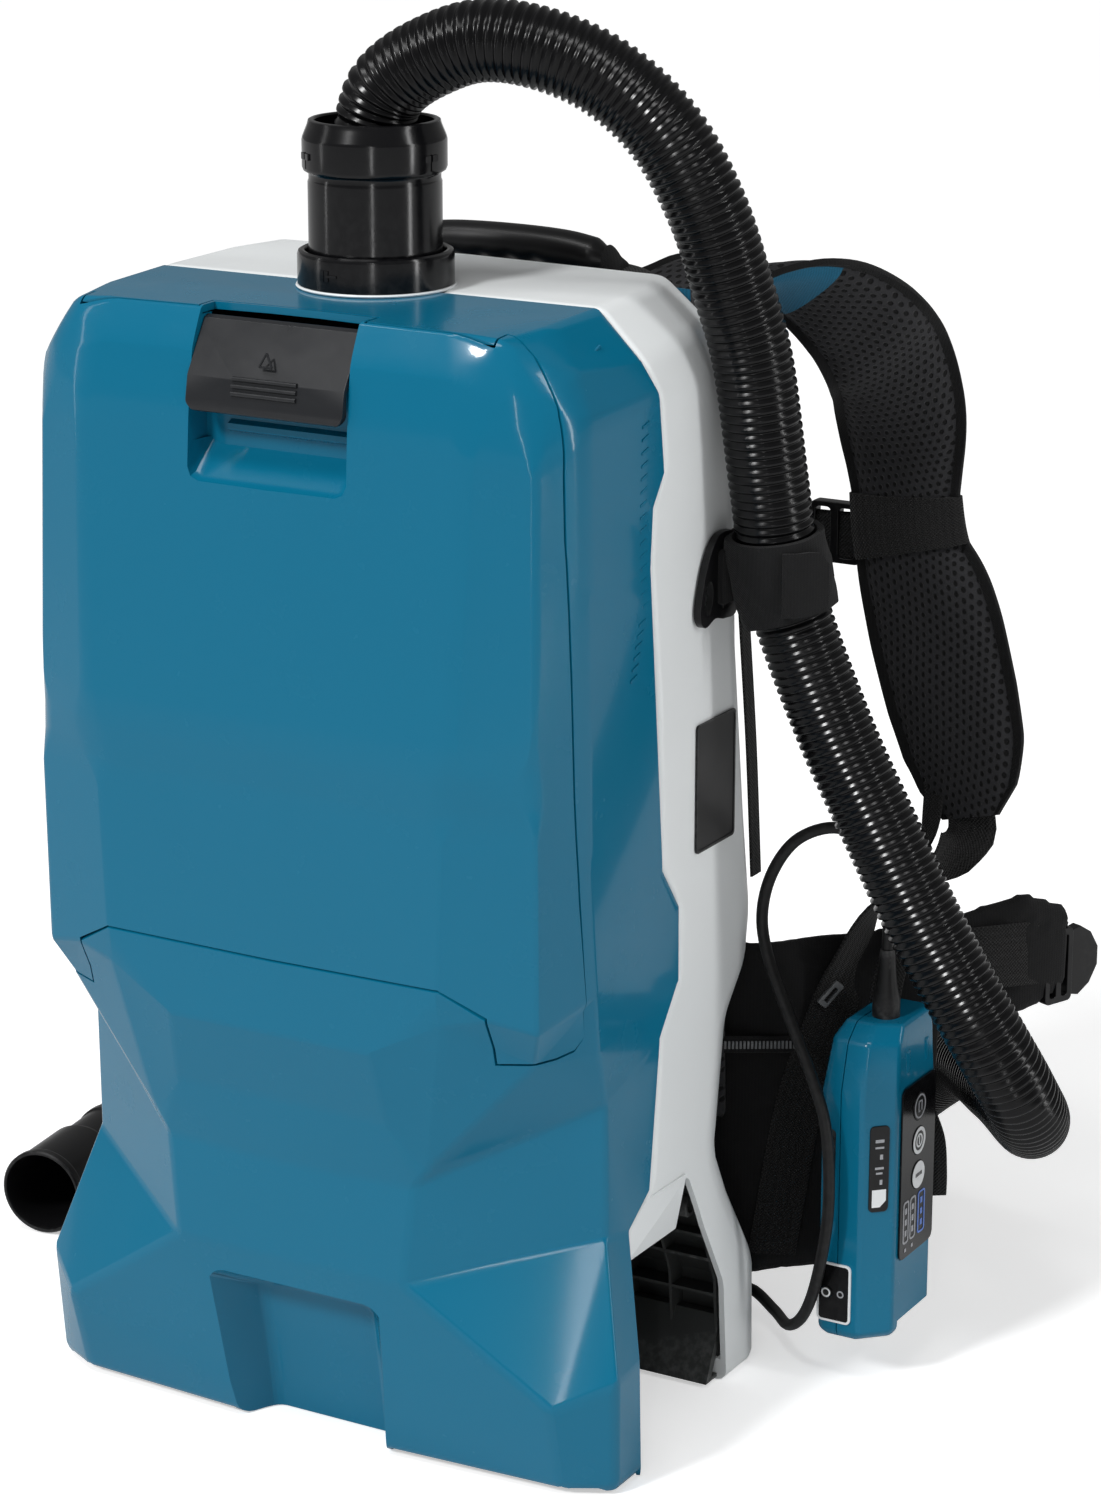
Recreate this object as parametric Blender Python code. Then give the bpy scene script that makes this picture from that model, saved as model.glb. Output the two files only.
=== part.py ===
"""Backpack vacuum cleaner: teal front cover and door over a white back shell, with its harness,
suction hose and belt control. Sizes are millimetres; +Z is up, the door faces -Y."""

import math

import bmesh
import bpy
from mathutils import Vector

MM = 0.001

# ---- clearances
FIT = 0.3  # between pieces that touch
SEAM = 1.2  # visible line round the door
RUN = 0.6  # moving pieces

# ---- body
BODY_TOP = 562.0
WALL = 3.0
HALF_SIDE = 150.0  # half width across the sides
DOOR_BULGE = 119.0  # how far the door stands in front of the origin
HINGE_Y = -100.0
HINGE_Z = 232.0
HINGE_PIN_R = 2.0
HINGE_PIN_HALF = 110.4
EAR_IN = 105.5
EAR_OUT = 131.0
EAR_R = 11.0
DOOR_SILL = 250.4
RECESS_HALF = 51.0
RECESS_FLOOR_HALF = 31.0
RECESS_TOP = 84.0
RECESS_Y = -78.0

# ---- dust chamber
TUB_HALF = 121.0
TUB_FRONT = -62.0
TUB_BACK = 52.0
TUB_LOW = 264.0
TUB_TOP = 548.0
TUB_WALL = 2.5
GASKET = 4.0
GASKET_WIDE = 6.5
FILTER_HALF = 96.0
FILTER_FRAME_H = 6.0
PLEATS = 22
PLEAT_H = 22.0
PLEAT_THICK = 2.2
HOLDER_THICK = 3.0

# ---- latch
LATCH_HALF = 42.6
LATCH_LOW = 515.0
LATCH_Y = -92.2
LATCH_Z = 552.6
LATCH_BARREL_R = 4.0
LATCH_PIN_R = 1.4
SPRING_R = 2.6
SPRING_WIRE = 0.9
SPRING_HALF = 7.0
SPRING_TURNS = 5
POCKET_LOW = 481.0
POCKET_Y = -95.0
POCKET_WALL = 2.5

# ---- inlet
INLET_Y = -15.0
COLLAR_R = 37.0
COLLAR_H = 16.0
SWIVEL_R = 31.5
SWIVEL_BORE = 26.0
SWIVEL_LIP_R = 34.0
SWIVEL_TOP = 640.0

# ---- fan and motor
FAN_R = 50.0
FAN_TOP = TUB_LOW - FIT
FAN_H = 24.0
SHROUD_R = 58.0
SHROUD_WALL = 2.5
SHROUD_LOW = FAN_TOP - FAN_H - 8
SHROUD_EYE = 30.0
FRAME_TOP = 116.0
FRAME_HALF = 58.0
FRAME_FRONT = -44.0
FRAME_BACK = 96.5
FRAME_WALL = 3.0
MOTOR_R = 37.0
MOTOR_LOW = FRAME_TOP + FIT
MOTOR_TOP = SHROUD_LOW - FIT
SHAFT_R = 4.0
BEARING_R = 12.7
BEARING_H = 8.0
BOARD_X = -55.0
BOARD_THICK = 1.8
BOARD_Y = (-30.0, 60.0)
BOARD_H = 60.0

# ---- hose and cable
HOSE_D = 38.0
HOSE_POINTS = 80
CUFF_R = 24.0
CUFF_Z = CUFF_R + FIT
CUFF_LEN = 100.0
CABLE_D = 6.0
GLAND_X = 120.0
GLAND_Z = 22.0
GLAND_R = 6.0
GLAND_END = 120.2
BAND_LOW = 411.0
BAND_HIGH = 447.0
BAND_THICK = 4.5
HOOK_THICK = 2.0

# ---- control box
BOX_X = (187.0, 224.0)
BOX_Y = (93.0, 155.0)
BOX_Z = (25.0, 198.0)
BOX_CHAMFER = 13.0
BOX_BACK_DEEP = 12.0  # depth of the rear half of the case
BOX_PARTING = BOX_X[0] + BOX_BACK_DEEP
BOX_TOP_X = 208.0
BOX_TOP_Y = 124.0
PANEL_Z = (66.0, 158.0)
PAIR_X = BOX_X[0] + BOX_BACK_DEEP / 2 + 0.5
PAIR_Z = 50.0
PAIR_R = 4.0
BUTTON_R = 7.2
BUTTON_OUT = 1.6
BUTTON_DEEP = 4.0
HANGER_WIDTH = 16.0
HANGER_THICK = 2.2

# ---- harness
PAD_HALF = 136.0
PAD_THICK = 16.0
STRAP_WIDTH = 66.0
STRAP_THICK = 12.0
WEB_WIDTH = 25.0
WEB_THICK = 2.0
YOKE_HALF = 118.0
YOKE_Z = (556.0, 540.0, 512.0)
YOKE_THICK = 1.8
BELT_THICK = 14.0
BUCKLE_AT = (257.9, 249.1)
BUCKLE_Z = 192.0
STERNUM_Y = 248.0
STERNUM_Z = 400.0

# ---- plain side plate
PLATE_Y = (40.0, 66.0)
PLATE_Z = (296.0, 352.0)

# How far each surface row of the body stands: half of it, mirrored in X.
# Columns run from the middle round to the rear edge of the teal cover.
FRONT_ROWS = [
    [(0, -90, 563), (88, -88.5, 562), (108, -88, 561), (117.5, -88, 560), (120.5, -15, 562)],
    [(0, -108.5, 528), (107, -107.5, 527), (127, -101, 531), (138, -91, 540), (145, -26, 543)],
    [(0, -109.5, 505), (106.5, -108.5, 505), (134, -99, 503), (145, -88, 500), (150, -8, 505)],
    [(0, -120, 366), (102, -118.5, 366), (133, -104, 372), (147, -75, 380), (150, -10, 380)],
    [(0, -118, 342), (98, -117, 342), (131, -103, 345), (147.5, -73, 330), (150, -7, 300)],
    [(0, -119, 258), (92, -119, 258), (118, -109, 256), (148, -68, 262), (150, 12, 270)],
    [(0, -119, 222), (61, -119, 222), (103, -112, 238), (148, -66.5, 225), (150, 12, 228)],
    [(0, -112, 170), (88, -103, 168), (126, -93, 198), (146, -64, 205), (150, -6, 204)],
    [(0, -107, 128), (68, -101, 134), (106, -86, 140), (141, -62, 134), (147, -12, 134)],
    [(0, -104.5, 99), (66, -104.5, 99), (104, -92, 108), (151, -66, 122), (151, -38, 116)],
    [(0, -97, 48), (70, -97, 60), (139, -92, 49), (165, -74, 58), (163.5, -49, 61)],
    [(0, -88, 13), (70, -86, 10), (133, -77, 3), (163, -68, 0), (163, -46, 0)],
]
# Inward offset (x, y) of each column for the inside of the moulding.
FRONT_INSET = [(0, 1), (-0.3, 1), (-0.8, 0.9), (-1, 0.5), (-1, 3)]

BACK_ROWS = [
    [(120.5, -15, 562), (118, 40, 560), (106, 68, 558), (0, 75, 560)],
    [(145, -26, 543), (144, 42, 540), (131, 73, 540), (0, 78, 540)],
    [(150, -8, 505), (149, 54, 500), (140, 77, 500), (0, 80, 500)],
    [(150, -10, 380), (150, 66, 385), (142, 82, 385), (0, 84, 385)],
    [(150, -7, 300), (150, 76, 310), (143, 90, 310), (0, 92, 310)],
    [(150, 12, 270), (150, 84, 250), (144, 98, 246), (0, 98, 246)],
    [(150, 12, 228), (150, 80, 222), (144, 94, 219), (0, 96, 219)],
    [(150, -6, 204), (149, 62, 198), (143, 75, 196), (0, 82, 196)],
    [(147, -12, 134), (147, 52, 130), (142, 68, 126), (0, 78, 126)],
    [(149, -38, 116), (148, 66, 100), (143, 80, 100), (0, 84, 100)],
    [(150, -38, 61), (150, 93, 58), (146, 104, 58), (0, 100, 58)],
    [(150, -38, 0), (150, 95, 0), (146, 105, 0), (0, 100, 0)],
]
# Side bay for a battery: outline in Y and Z between the front foot and the rear leg.
BAY = [(28, 127), (64, 56), (69, -8), (-75, -8), (-75, 92), (-42, 104)]
BAY_FLOOR_X = 64.0
INSERT_X = 144.2  # how far out the ribbed wall of a bay reaches
INSERT_SET_BACK = 1.5
INSERT_TOP = 112.0
INSERT_FOOT = 1.5
INSERT_RIB = 1.5
INSERT_RIBS = 4
INSERT_SHELVES = (84.0, 68.0, 46.0)
DOCK_DEEP = 10.0
DOCK_Y = (-30.0, 44.0)
DOCK_Z = (30.0, 92.0)
DOCK_SLOTS = 4

# Middle of the hose, from the inlet over the arch, down the right side and round behind
HOSE_ROUTE = [
    (1, -15, 640.4), (8, -15, 655), (26, -13, 668), (54, -9, 678), (84, -2, 675), (112, 8, 662),
    (136, 18, 638), (152, 28, 604), (161, 38, 566), (168, 46, 530), (174, 53, 470), (180, 59, 420),
    (203, 66, 356), (228, 71, 304), (252, 76, 256), (278.5, 83, 209), (289, 92.7, 184), (291.6, 104, 168),
    (289.8, 118.6, 155), (283.4, 135, 145.5), (273.4, 151.5, 140.5), (255, 176, 137.5), (237, 200, 133),
    (196, 249, 124), (168, 275, 101), (136, 297, 72), (100, 313, 45), (60, 322, 27), (16, 325, 20.2),
    (-30, 325, 19.4), (-80, 324, 19.4), (-130, 320, 19.4), (-180, 311, 19.4), (-226, 293, 19.4),
    (-260, 264, 19.4), (-279, 228, 20.6), (-284.4, 204, 22.6), (-284.6, 186.4, 23.8),
    (-283, 166.6, CUFF_Z), (-280.3, 147.2, CUFF_Z),
]
CUFF_START = (-280.2, 146.8)
CUFF_AXIS = (0.139, -0.990)
CABLE_ROUTE = [
    (GLAND_X, GLAND_END + FIT, GLAND_Z), (GLAND_X, 130, GLAND_Z), (128, 140, 18), (146, 130, 14),
    (163, 112, 17), (180, 95, 34), (192, 85, 62), (198, 83, 100), (196, 83, 140), (188, 83, 166),
    (174, 84, 196), (161, 86, 224),
    (156, 88, 246), (160, 91, 268), (172, 95, 286), (190, 103, 292), (205, 113, 280), (209, 121, 254),
    (BOX_TOP_X, BOX_TOP_Y, 228), (BOX_TOP_X, BOX_TOP_Y, BOX_Z[1] + 10.4),
]

STRAP_ROUTE = [
    (72, 90.4, 515.5), (80, 94, 533), (94, 105, 546), (118, 122, 555), (145, 152, 548), (163, 182, 524),
    (163, 215, 490), (157, 236, 450), (160, 240, 405), (172, 239, 370), (184, 235, 335), (197, 229, 300),
    (208, 222, 268),
]
STRAP_ACROSS = [
    (1, 0.03, 0), (1, 0, 0), (1, -0.1, 0.05), (0.9, -0.1, 0.35), (0.75, 0, 0.6), (0.65, 0, 0.7),
    (0.85, 0, 0.45), (1, 0, 0.1), (1, 0, 0), (1, 0, -0.15), (1, 0, -0.1), (1, 0, 0.1), (1, 0, 0.35),
]
WEB_ROUTE = [
    (208.6, 221.5, 258.6), (205, 208, 252), (196, 186, 243), (187, 162.5, 235), (180.9, 150.2, 222),
    (173.8, 146.6, 200), (168.8, 143.5, 180), (156.2, 134.1, 131), (147.4, 126.7, 62), (145.9, 125.4, 48),
]
WEB_ACROSS = [(0.78, 0.62, 0)]
LEFT_DROP = 12.0  # the left strap lies lower than the right one
BELT_ROUTE = [
    (100, 122.4), (134, 126.5), (162, 150), (189, 168), (206, 179), (213, 184), (242, 214), (255, 240),
]
BELT_LOW = [30, 32, 34, 72, 100, 172, 176, 184]
BELT_HIGH = [214, 219, 221, 223, 226, 228, 238, 226]

TEAL = (0.004, 0.15, 0.23)
WHITE = (0.72, 0.74, 0.74)
BLACK = (0.012, 0.012, 0.013)
FABRIC = (0.014, 0.014, 0.015)
DARK = (0.05, 0.055, 0.06)
GREY = (0.25, 0.26, 0.27)
STEEL = (0.55, 0.55, 0.56)
PAPER = (0.62, 0.55, 0.42)


def clear():
    for obj in list(bpy.data.objects):
        bpy.data.objects.remove(obj, do_unlink=True)


def material(name, colour, metallic=0.0, rough=0.5):
    mat = bpy.data.materials.new(name)
    mat.use_nodes = True
    shader = mat.node_tree.nodes["Principled BSDF"]
    shader.inputs["Base Color"].default_value = (*colour, 1)
    shader.inputs["Metallic"].default_value = metallic
    shader.inputs["Roughness"].default_value = rough
    return mat


# ---- mesh builders: points in millimetres ------------------------------------------------


def add(name, points, faces, colour=None, origin=(0, 0, 0)):
    """A mesh object whose origin is put at the given point."""
    mesh = bpy.data.meshes.new(name)
    start = Vector(origin)
    mesh.from_pydata([(Vector(p) - start) * MM for p in points], [], faces)
    obj = bpy.data.objects.new(name, mesh)
    obj.location = start * MM
    bpy.context.scene.collection.objects.link(obj)
    if colour is not None:
        mesh.materials.append(material(name, colour))
    work = bmesh.new()
    work.from_mesh(mesh)
    bmesh.ops.triangulate(work, faces=work.faces)
    if work.calc_volume(signed=True) < 0:
        bmesh.ops.reverse_faces(work, faces=work.faces)
    work.to_mesh(mesh)
    work.free()
    return obj


def helper(obj):
    """Turns an object into a hidden cutter."""
    obj.hide_render = True
    obj.display_type = "WIRE"
    return obj


def combine(obj, other, operation, solver="EXACT"):
    mod = obj.modifiers.new(operation.lower() + str(len(obj.modifiers)), "BOOLEAN")
    mod.operation = operation
    mod.object = helper(other)
    mod.solver = solver
    return obj


def cut(obj, *others):
    for other in others:
        combine(obj, other, "DIFFERENCE")
    return obj


def join(obj, *others):
    for other in others:
        combine(obj, other, "UNION")
    return obj


def keep(obj, other, solver="EXACT"):
    return combine(obj, other, "INTERSECT", solver)


def loft(name, rings, colour=None, origin=(0, 0, 0)):
    """Joins closed rings of equal count, with a cap on each end."""
    n = len(rings[0])
    points = [p for ring in rings for p in ring]
    faces = [list(range(n))[::-1]]
    for r in range(len(rings) - 1):
        for i in range(n):
            j = (i + 1) % n
            faces.append([r * n + i, r * n + j, (r + 1) * n + j, (r + 1) * n + i])
    last = (len(rings) - 1) * n
    faces.append([last + i for i in range(n)])
    return add(name, points, faces, colour, origin)


def place(axis, u, v, w):
    """A point from two coordinates across an axis and one along it."""
    return {"X": (w, u, v), "Y": (u, w, v), "Z": (u, v, w)}[axis]


def prism(name, axis, outline, low, high, colour=None, origin=(0, 0, 0)):
    rings = [[place(axis, u, v, w) for u, v in outline] for w in (low, high)]
    return loft(name, rings, colour, origin)


def box(name, x, y, z, colour=None, origin=(0, 0, 0)):
    outline = [(x[0], y[0]), (x[1], y[0]), (x[1], y[1]), (x[0], y[1])]
    return prism(name, "Z", outline, z[0], z[1], colour, origin)


def circle(radius, steps, centre=(0, 0), start=0.0, end=360.0):
    full = abs(end - start) >= 360
    count = steps if full else steps + 1
    span = math.radians(end - start) / steps
    angles = [math.radians(start) + span * i for i in range(count)]
    return [(centre[0] + radius * math.cos(a), centre[1] + radius * math.sin(a)) for a in angles]


def rounded(low, high, radius, steps=4):
    """Outline of a rectangle with round corners."""
    x0, y0 = low[0] + radius, low[1] + radius
    x1, y1 = high[0] - radius, high[1] - radius
    outline = []
    for centre, a in (((x1, y1), 0), ((x0, y1), 90), ((x0, y0), 180), ((x1, y0), 270)):
        outline += circle(radius, steps, centre, a, a + 90)
    return outline


def rod(name, axis, centre, radius, low, high, steps=24, colour=None, origin=(0, 0, 0)):
    return prism(name, axis, circle(radius, steps, centre), low, high, colour, origin)


def hoop(name, rings, colour=None, origin=(0, 0, 0)):
    """Joins closed rings of equal count into a closed loop."""
    n = len(rings[0])
    points = [p for ring in rings for p in ring]
    faces = []
    for r in range(len(rings)):
        s = (r + 1) % len(rings)
        for i in range(n):
            j = (i + 1) % n
            faces.append([r * n + i, r * n + j, s * n + j, s * n + i])
    return add(name, points, faces, colour, origin)


def turned(name, axis, centre, profile, steps=32, colour=None, origin=(0, 0, 0)):
    """A ring turned round an axis: the profile is (radius, height) points that stay off it."""
    rings = []
    for i in range(steps):
        a = 2 * math.pi * i / steps
        ring = []
        for r, h in profile:
            ring.append(place(axis, centre[0] + r * math.cos(a), centre[1] + r * math.sin(a), h))
        rings.append(ring)
    return hoop(name, rings, colour, origin)


def smooth(route, count):
    """Evenly spaced points on a Catmull-Rom curve through the route."""
    pts = [Vector(p) for p in route]
    pts = [2 * pts[0] - pts[1]] + pts + [2 * pts[-1] - pts[-2]]
    dense = []
    for i in range(1, len(pts) - 2):
        a, b, c, d = pts[i - 1 : i + 3]
        for k in range(24):
            t = k / 24
            dense.append(0.5 * ((2 * b) + (c - a) * t + (2 * a - 5 * b + 4 * c - d) * t**2
                                + (3 * b - a - 3 * c + d) * t**3))
    dense.append(pts[-2])
    lengths = [0.0]
    for p, q in zip(dense, dense[1:]):
        lengths.append(lengths[-1] + (q - p).length)
    out = []
    k = 0
    for i in range(count):
        want = lengths[-1] * i / (count - 1)
        while k < len(dense) - 2 and lengths[k + 1] < want:
            k += 1
        share = (want - lengths[k]) / max(lengths[k + 1] - lengths[k], 1e-9)
        out.append(dense[k].lerp(dense[k + 1], share))
    return out


def tube(name, route, diameter, count, colour, sides=3):
    """A cord or hose: a round curve along a smooth route."""
    curve = bpy.data.curves.new(name, "CURVE")
    curve.dimensions = "3D"
    curve.bevel_depth = diameter / 2 * MM
    curve.bevel_resolution = sides
    curve.use_fill_caps = True
    points = smooth(route, count)
    spline = curve.splines.new("POLY")
    spline.points.add(len(points) - 1)
    for point, p in zip(spline.points, points):
        point.co = (*(p * MM), 1)
    curve.materials.append(material(name, colour))
    obj = bpy.data.objects.new(name, curve)
    bpy.context.scene.collection.objects.link(obj)
    return obj


def ribbon(name, route, across, width, thick, colour, count=16, soft=0.35):
    """A flat band along a smooth route; across gives its width direction at each route point."""
    points = smooth(route, count)
    sides = smooth(across, count) if len(across) > 1 else [Vector(across[0])] * count
    widths = width if isinstance(width, (list, tuple)) else [width] * count
    rings = []
    for i, p in enumerate(points):
        along = (points[min(i + 1, count - 1)] - points[max(i - 1, 0)]).normalized()
        side = Vector(sides[i])
        side = (side - along * side.dot(along)).normalized()
        up = along.cross(side)
        half = widths[min(i, len(widths) - 1)] / 2
        edge = min(thick * soft, half * 0.5)
        t = thick / 2
        shape = [(half, t - edge), (half - edge, t), (edge - half, t), (-half, t - edge),
                 (-half, edge - t), (edge - half, -t), (half - edge, -t), (half, edge - t)]
        rings.append([tuple(p + side * u + up * v) for u, v in shape])
    return loft(name, rings, colour)


def mirrored(points):
    return [(-p[0], *p[1:]) for p in points]


# ---- the two mouldings of the body -----------------------------------------------------


def full_ring(row, rear=False):
    """Mirrors half a row into a closed ring."""
    if rear:
        return list(row) + mirrored(row[:-1])[::-1]
    return mirrored(row[1:])[::-1] + list(row)


def front_rows(wall):
    """Rows of the teal cover, moved inward by the wall where one is given."""
    rows = []
    for k, row in enumerate(FRONT_ROWS):
        moved = []
        for (x, y, z), (dx, dy) in zip(row, FRONT_INSET):
            drop = wall if k == 0 else 0
            moved.append((x + dx * wall, y + dy * wall, z - drop))
        rows.append(moved)
    if wall:
        rows.append([(x, y, z - 8) for x, y, z in rows[-1]])
    return rows


def front_solid(name, wall=0.0):
    return loft(name, [full_ring(r) for r in front_rows(wall)])


def recess(name, wall=0.0):
    """Cut-out between the front feet."""
    low = -12.0
    top = RECESS_TOP + wall
    deep = RECESS_Y + wall
    side = wall
    near = [(-RECESS_HALF - side - 12, -140, low), (RECESS_HALF + side + 12, -140, low),
            (RECESS_HALF + side + 12, -140, top + 24), (-RECESS_HALF - side - 12, -140, top + 24)]
    far = [(-RECESS_FLOOR_HALF - side, deep + 16, low), (RECESS_FLOOR_HALF + side, deep + 16, low),
           (RECESS_FLOOR_HALF + side, deep, top - 12), (-RECESS_FLOOR_HALF - side, deep, top - 12)]
    return loft(name, [near, far])


def front_skin(name, colour):
    skin = front_solid(name)
    skin.data.materials.append(material(name, colour))
    cut(skin, recess(name + "_recess"))
    inner = front_solid(name + "_inner", WALL)
    cut(inner, recess(name + "_recess_inner", WALL))
    return cut(skin, inner)


def back_rows(wall):
    rows = []
    inset = [(-1, -3), (-1, 0), (-0.8, -0.8), (0, -1)]
    for k, row in enumerate(BACK_ROWS):
        moved = []
        for (x, y, z), (dx, dy) in zip(row, inset):
            moved.append((x + dx * wall, y + dy * wall, z - (wall if k == 0 else 0)))
        rows.append(moved)
    if wall:
        rows.append([(x, y, z - 8) for x, y, z in rows[-1]])
    return rows


def back_ring(row):
    """The rear half of a section, closed across the front edge."""
    right = list(row)
    left = mirrored(row)[::-1]
    return right + left[1:]


def back_solid(name, wall=0.0, shift=0.0):
    rows = [[(x, y + (shift if i == 0 else 0), z) for i, (x, y, z) in enumerate(r)] for r in back_rows(wall)]
    return loft(name, [back_ring(r) for r in rows])


def bay_cutter(name, side, grow=0.0):
    outline = [(y + (grow if y > 0 else -grow), z + (grow if z > 0 else -grow)) for y, z in BAY]
    x = (BAY_FLOOR_X - grow, 210)
    low, high = (x[0], x[1]) if side > 0 else (-x[1], -x[0])
    return prism(name, "X", outline, low, high)


# ---- door, latch and hinge ---------------------------------------------------------------


def sill_r():
    """Radius, about the hinge, of the joint line below the door."""
    return math.hypot(DOOR_BULGE + HINGE_Y, DOOR_SILL - HINGE_Z)


def seam_line(gap):
    """Joint between door and side band, as (Y, Z) from the top down."""
    line = [(-88, 600), (-88, 545), (-90, 517), (-84.5, 489), (-75.5, 390), (-71.5, 300), (-68.5, HINGE_Z)]
    return [(y + gap, z) for y, z in line]


def door_region(name, gap):
    """Everything in front of the joint line; a positive gap makes it larger."""
    radius = sill_r() - gap
    arc = [(HINGE_Y + u, HINGE_Z + v) for u, v in circle(radius, 6, (0, 0), 30, 180 - math.degrees(
        math.asin((DOOR_SILL - HINGE_Z - gap) / radius)))]
    middle = [(-200, 600)] + [(-200, DOOR_SILL - gap)] + arc[::-1] + [(seam_line(gap)[-1][0], arc[0][1])]
    middle += seam_line(gap)[:-1][::-1]
    reach = EAR_IN - gap
    region = prism(name, "X", middle, -reach, reach)
    lobe = circle(EAR_R + gap, 8, (HINGE_Y, HINGE_Z), 180, 270)
    heel = [(HINGE_Y + 18, HINGE_Z - EAR_R + 2 - gap), (HINGE_Y + 27, HINGE_Z - 6 - gap)]
    side = [(-200, 600), (-200, HINGE_Z - gap)] + lobe + heel + seam_line(gap)[::-1]
    for k, (low, high) in enumerate(((-200, -EAR_IN + gap), (EAR_IN - gap, 200))):
        join(region, prism(f"{name}_{k}", "X", side, low - 0.01, high + 0.01))
    return region


def make_front():
    housing = front_skin("front_housing", TEAL)
    cut(housing, door_region("opening", SEAM / 2))
    for side in (-1, 1):
        x = sorted((side * (EAR_IN - 13.5), side * (EAR_IN - 3)))
        lug = box(f"lug_{side}", x, (-130, HINGE_Y + 8), (HINGE_Z - 10, HINGE_Z + 9))
        keep(lug, front_solid(f"lug_limit_{side}"))
        join(housing, lug)
        socket = sorted((side * (EAR_IN - SEAM / 2), side * 151.5))
        clearance = EAR_R + 2
        cut(housing, rod(f"socket_{side}", "X", (HINGE_Y, HINGE_Z), clearance, socket[0], socket[1], 24))
    cut(housing, rod("hinge_bore", "X", (HINGE_Y, HINGE_Z), HINGE_PIN_R + FIT, -HINGE_PIN_HALF - 1,
                     HINGE_PIN_HALF + 1, 16))
    cut(housing, rod("inlet_hole", "Z", (0, INLET_Y), SWIVEL_BORE, BODY_TOP - 12, BODY_TOP + 12, 32))
    return housing


def make_door():
    door = front_skin("front_door", TEAL)
    # rim that presses on the chamber's gasket
    rim = box("rim", (-TUB_HALF + 2, TUB_HALF - 2), (-140, TUB_FRONT - GASKET - FIT), (272, 541))
    cut(rim, box("rim_inside", (-TUB_HALF + 5, TUB_HALF - 5), (-150, 0), (275, 538)))
    keep(rim, front_solid("rim_limit", 1.5))
    join(door, rim)
    low, deep = POCKET_LOW - POCKET_WALL, POCKET_Y + POCKET_WALL
    half = LATCH_HALF + FIT
    outline = [(-125, low), (deep, low), (deep, 540), (-88.7, 545), (-88.7, 557), (-125, 557)]
    tray = prism("tray", "X", outline, -half - POCKET_WALL, half + POCKET_WALL)
    keep(tray, front_solid("tray_limit"))
    join(door, tray)
    for side in (-1, 1):
        x = sorted((side * (EAR_IN + SEAM / 2), side * EAR_OUT))
        knuckle = rod(f"knuckle_{side}", "X", (HINGE_Y, HINGE_Z), EAR_R - 0.5, x[0], x[1], 24)
        keep(knuckle, front_solid(f"knuckle_limit_{side}"))
        join(door, knuckle)
    keep(door, door_region("door_limit", -SEAM / 2), "MANIFOLD")
    low, deep = POCKET_LOW, POCKET_Y
    outline = [(-150, low), (deep, low), (deep, 542), (-86, 548), (-86, 600), (-150, 600)]
    cut(door, prism("pocket", "X", outline, -half, half))
    cut(door, rod("ear_bore", "X", (HINGE_Y, HINGE_Z), HINGE_PIN_R + FIT, -HINGE_PIN_HALF - FIT,
                  HINGE_PIN_HALF + FIT, 16))
    cut(door, rod("latch_bore", "X", (LATCH_Y, LATCH_Z), LATCH_PIN_R + FIT, -half - 1.7, half + 1.7, 12))
    return door


def make_hinge():
    rod("door_hinge_pin", "X", (HINGE_Y, HINGE_Z), HINGE_PIN_R, -HINGE_PIN_HALF, HINGE_PIN_HALF, 16, STEEL,
        (0, HINGE_Y, HINGE_Z))


def make_latch():
    """Lever with a barrel at its top, a finger edge at its foot and a nose behind."""
    axis = (0, LATCH_Y, LATCH_Z)
    y, z = LATCH_Y, LATCH_Z
    plate = [(y - 1.4, z + 3.7), (y - 4.0, z + 1.6), (-110.6, 530.5), (-112.2, LATCH_LOW + 4),
             (-111.2, LATCH_LOW), (-108.6, LATCH_LOW), (-109, 529.5), (y - 1, z - 3.8)]
    lever = prism("latch_lever", "X", plate, -LATCH_HALF, LATCH_HALF, BLACK, axis)
    for side in (-1, 1):
        x = sorted((side * 10, side * (LATCH_HALF - 0.2)))
        join(lever, rod(f"barrel_{side}", "X", (y, z), LATCH_BARREL_R, x[0], x[1], 20))
    cut(lever, rod("lever_bore", "X", (y, z), LATCH_PIN_R + FIT, -60, 60, 12))
    cut(lever, rod("spring_room", "X", (y, z), LATCH_BARREL_R - 0.1, -10, 10, 16))
    rod("latch_pin", "X", (y, z), LATCH_PIN_R, -LATCH_HALF - 1.6, LATCH_HALF + 1.6, 12, STEEL, axis)
    steps = SPRING_TURNS * 8
    coil = []
    for i in range(steps + 1):
        a = 2 * math.pi * i / 8
        x = SPRING_HALF * (2 * i / steps - 1)
        coil.append((x, y + SPRING_R * math.cos(a), z + SPRING_R * math.sin(a)))
    tube("latch_spring", coil, SPRING_WIRE, len(coil), STEEL, 1)


# ---- inlet -----------------------------------------------------------------------------


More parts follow.
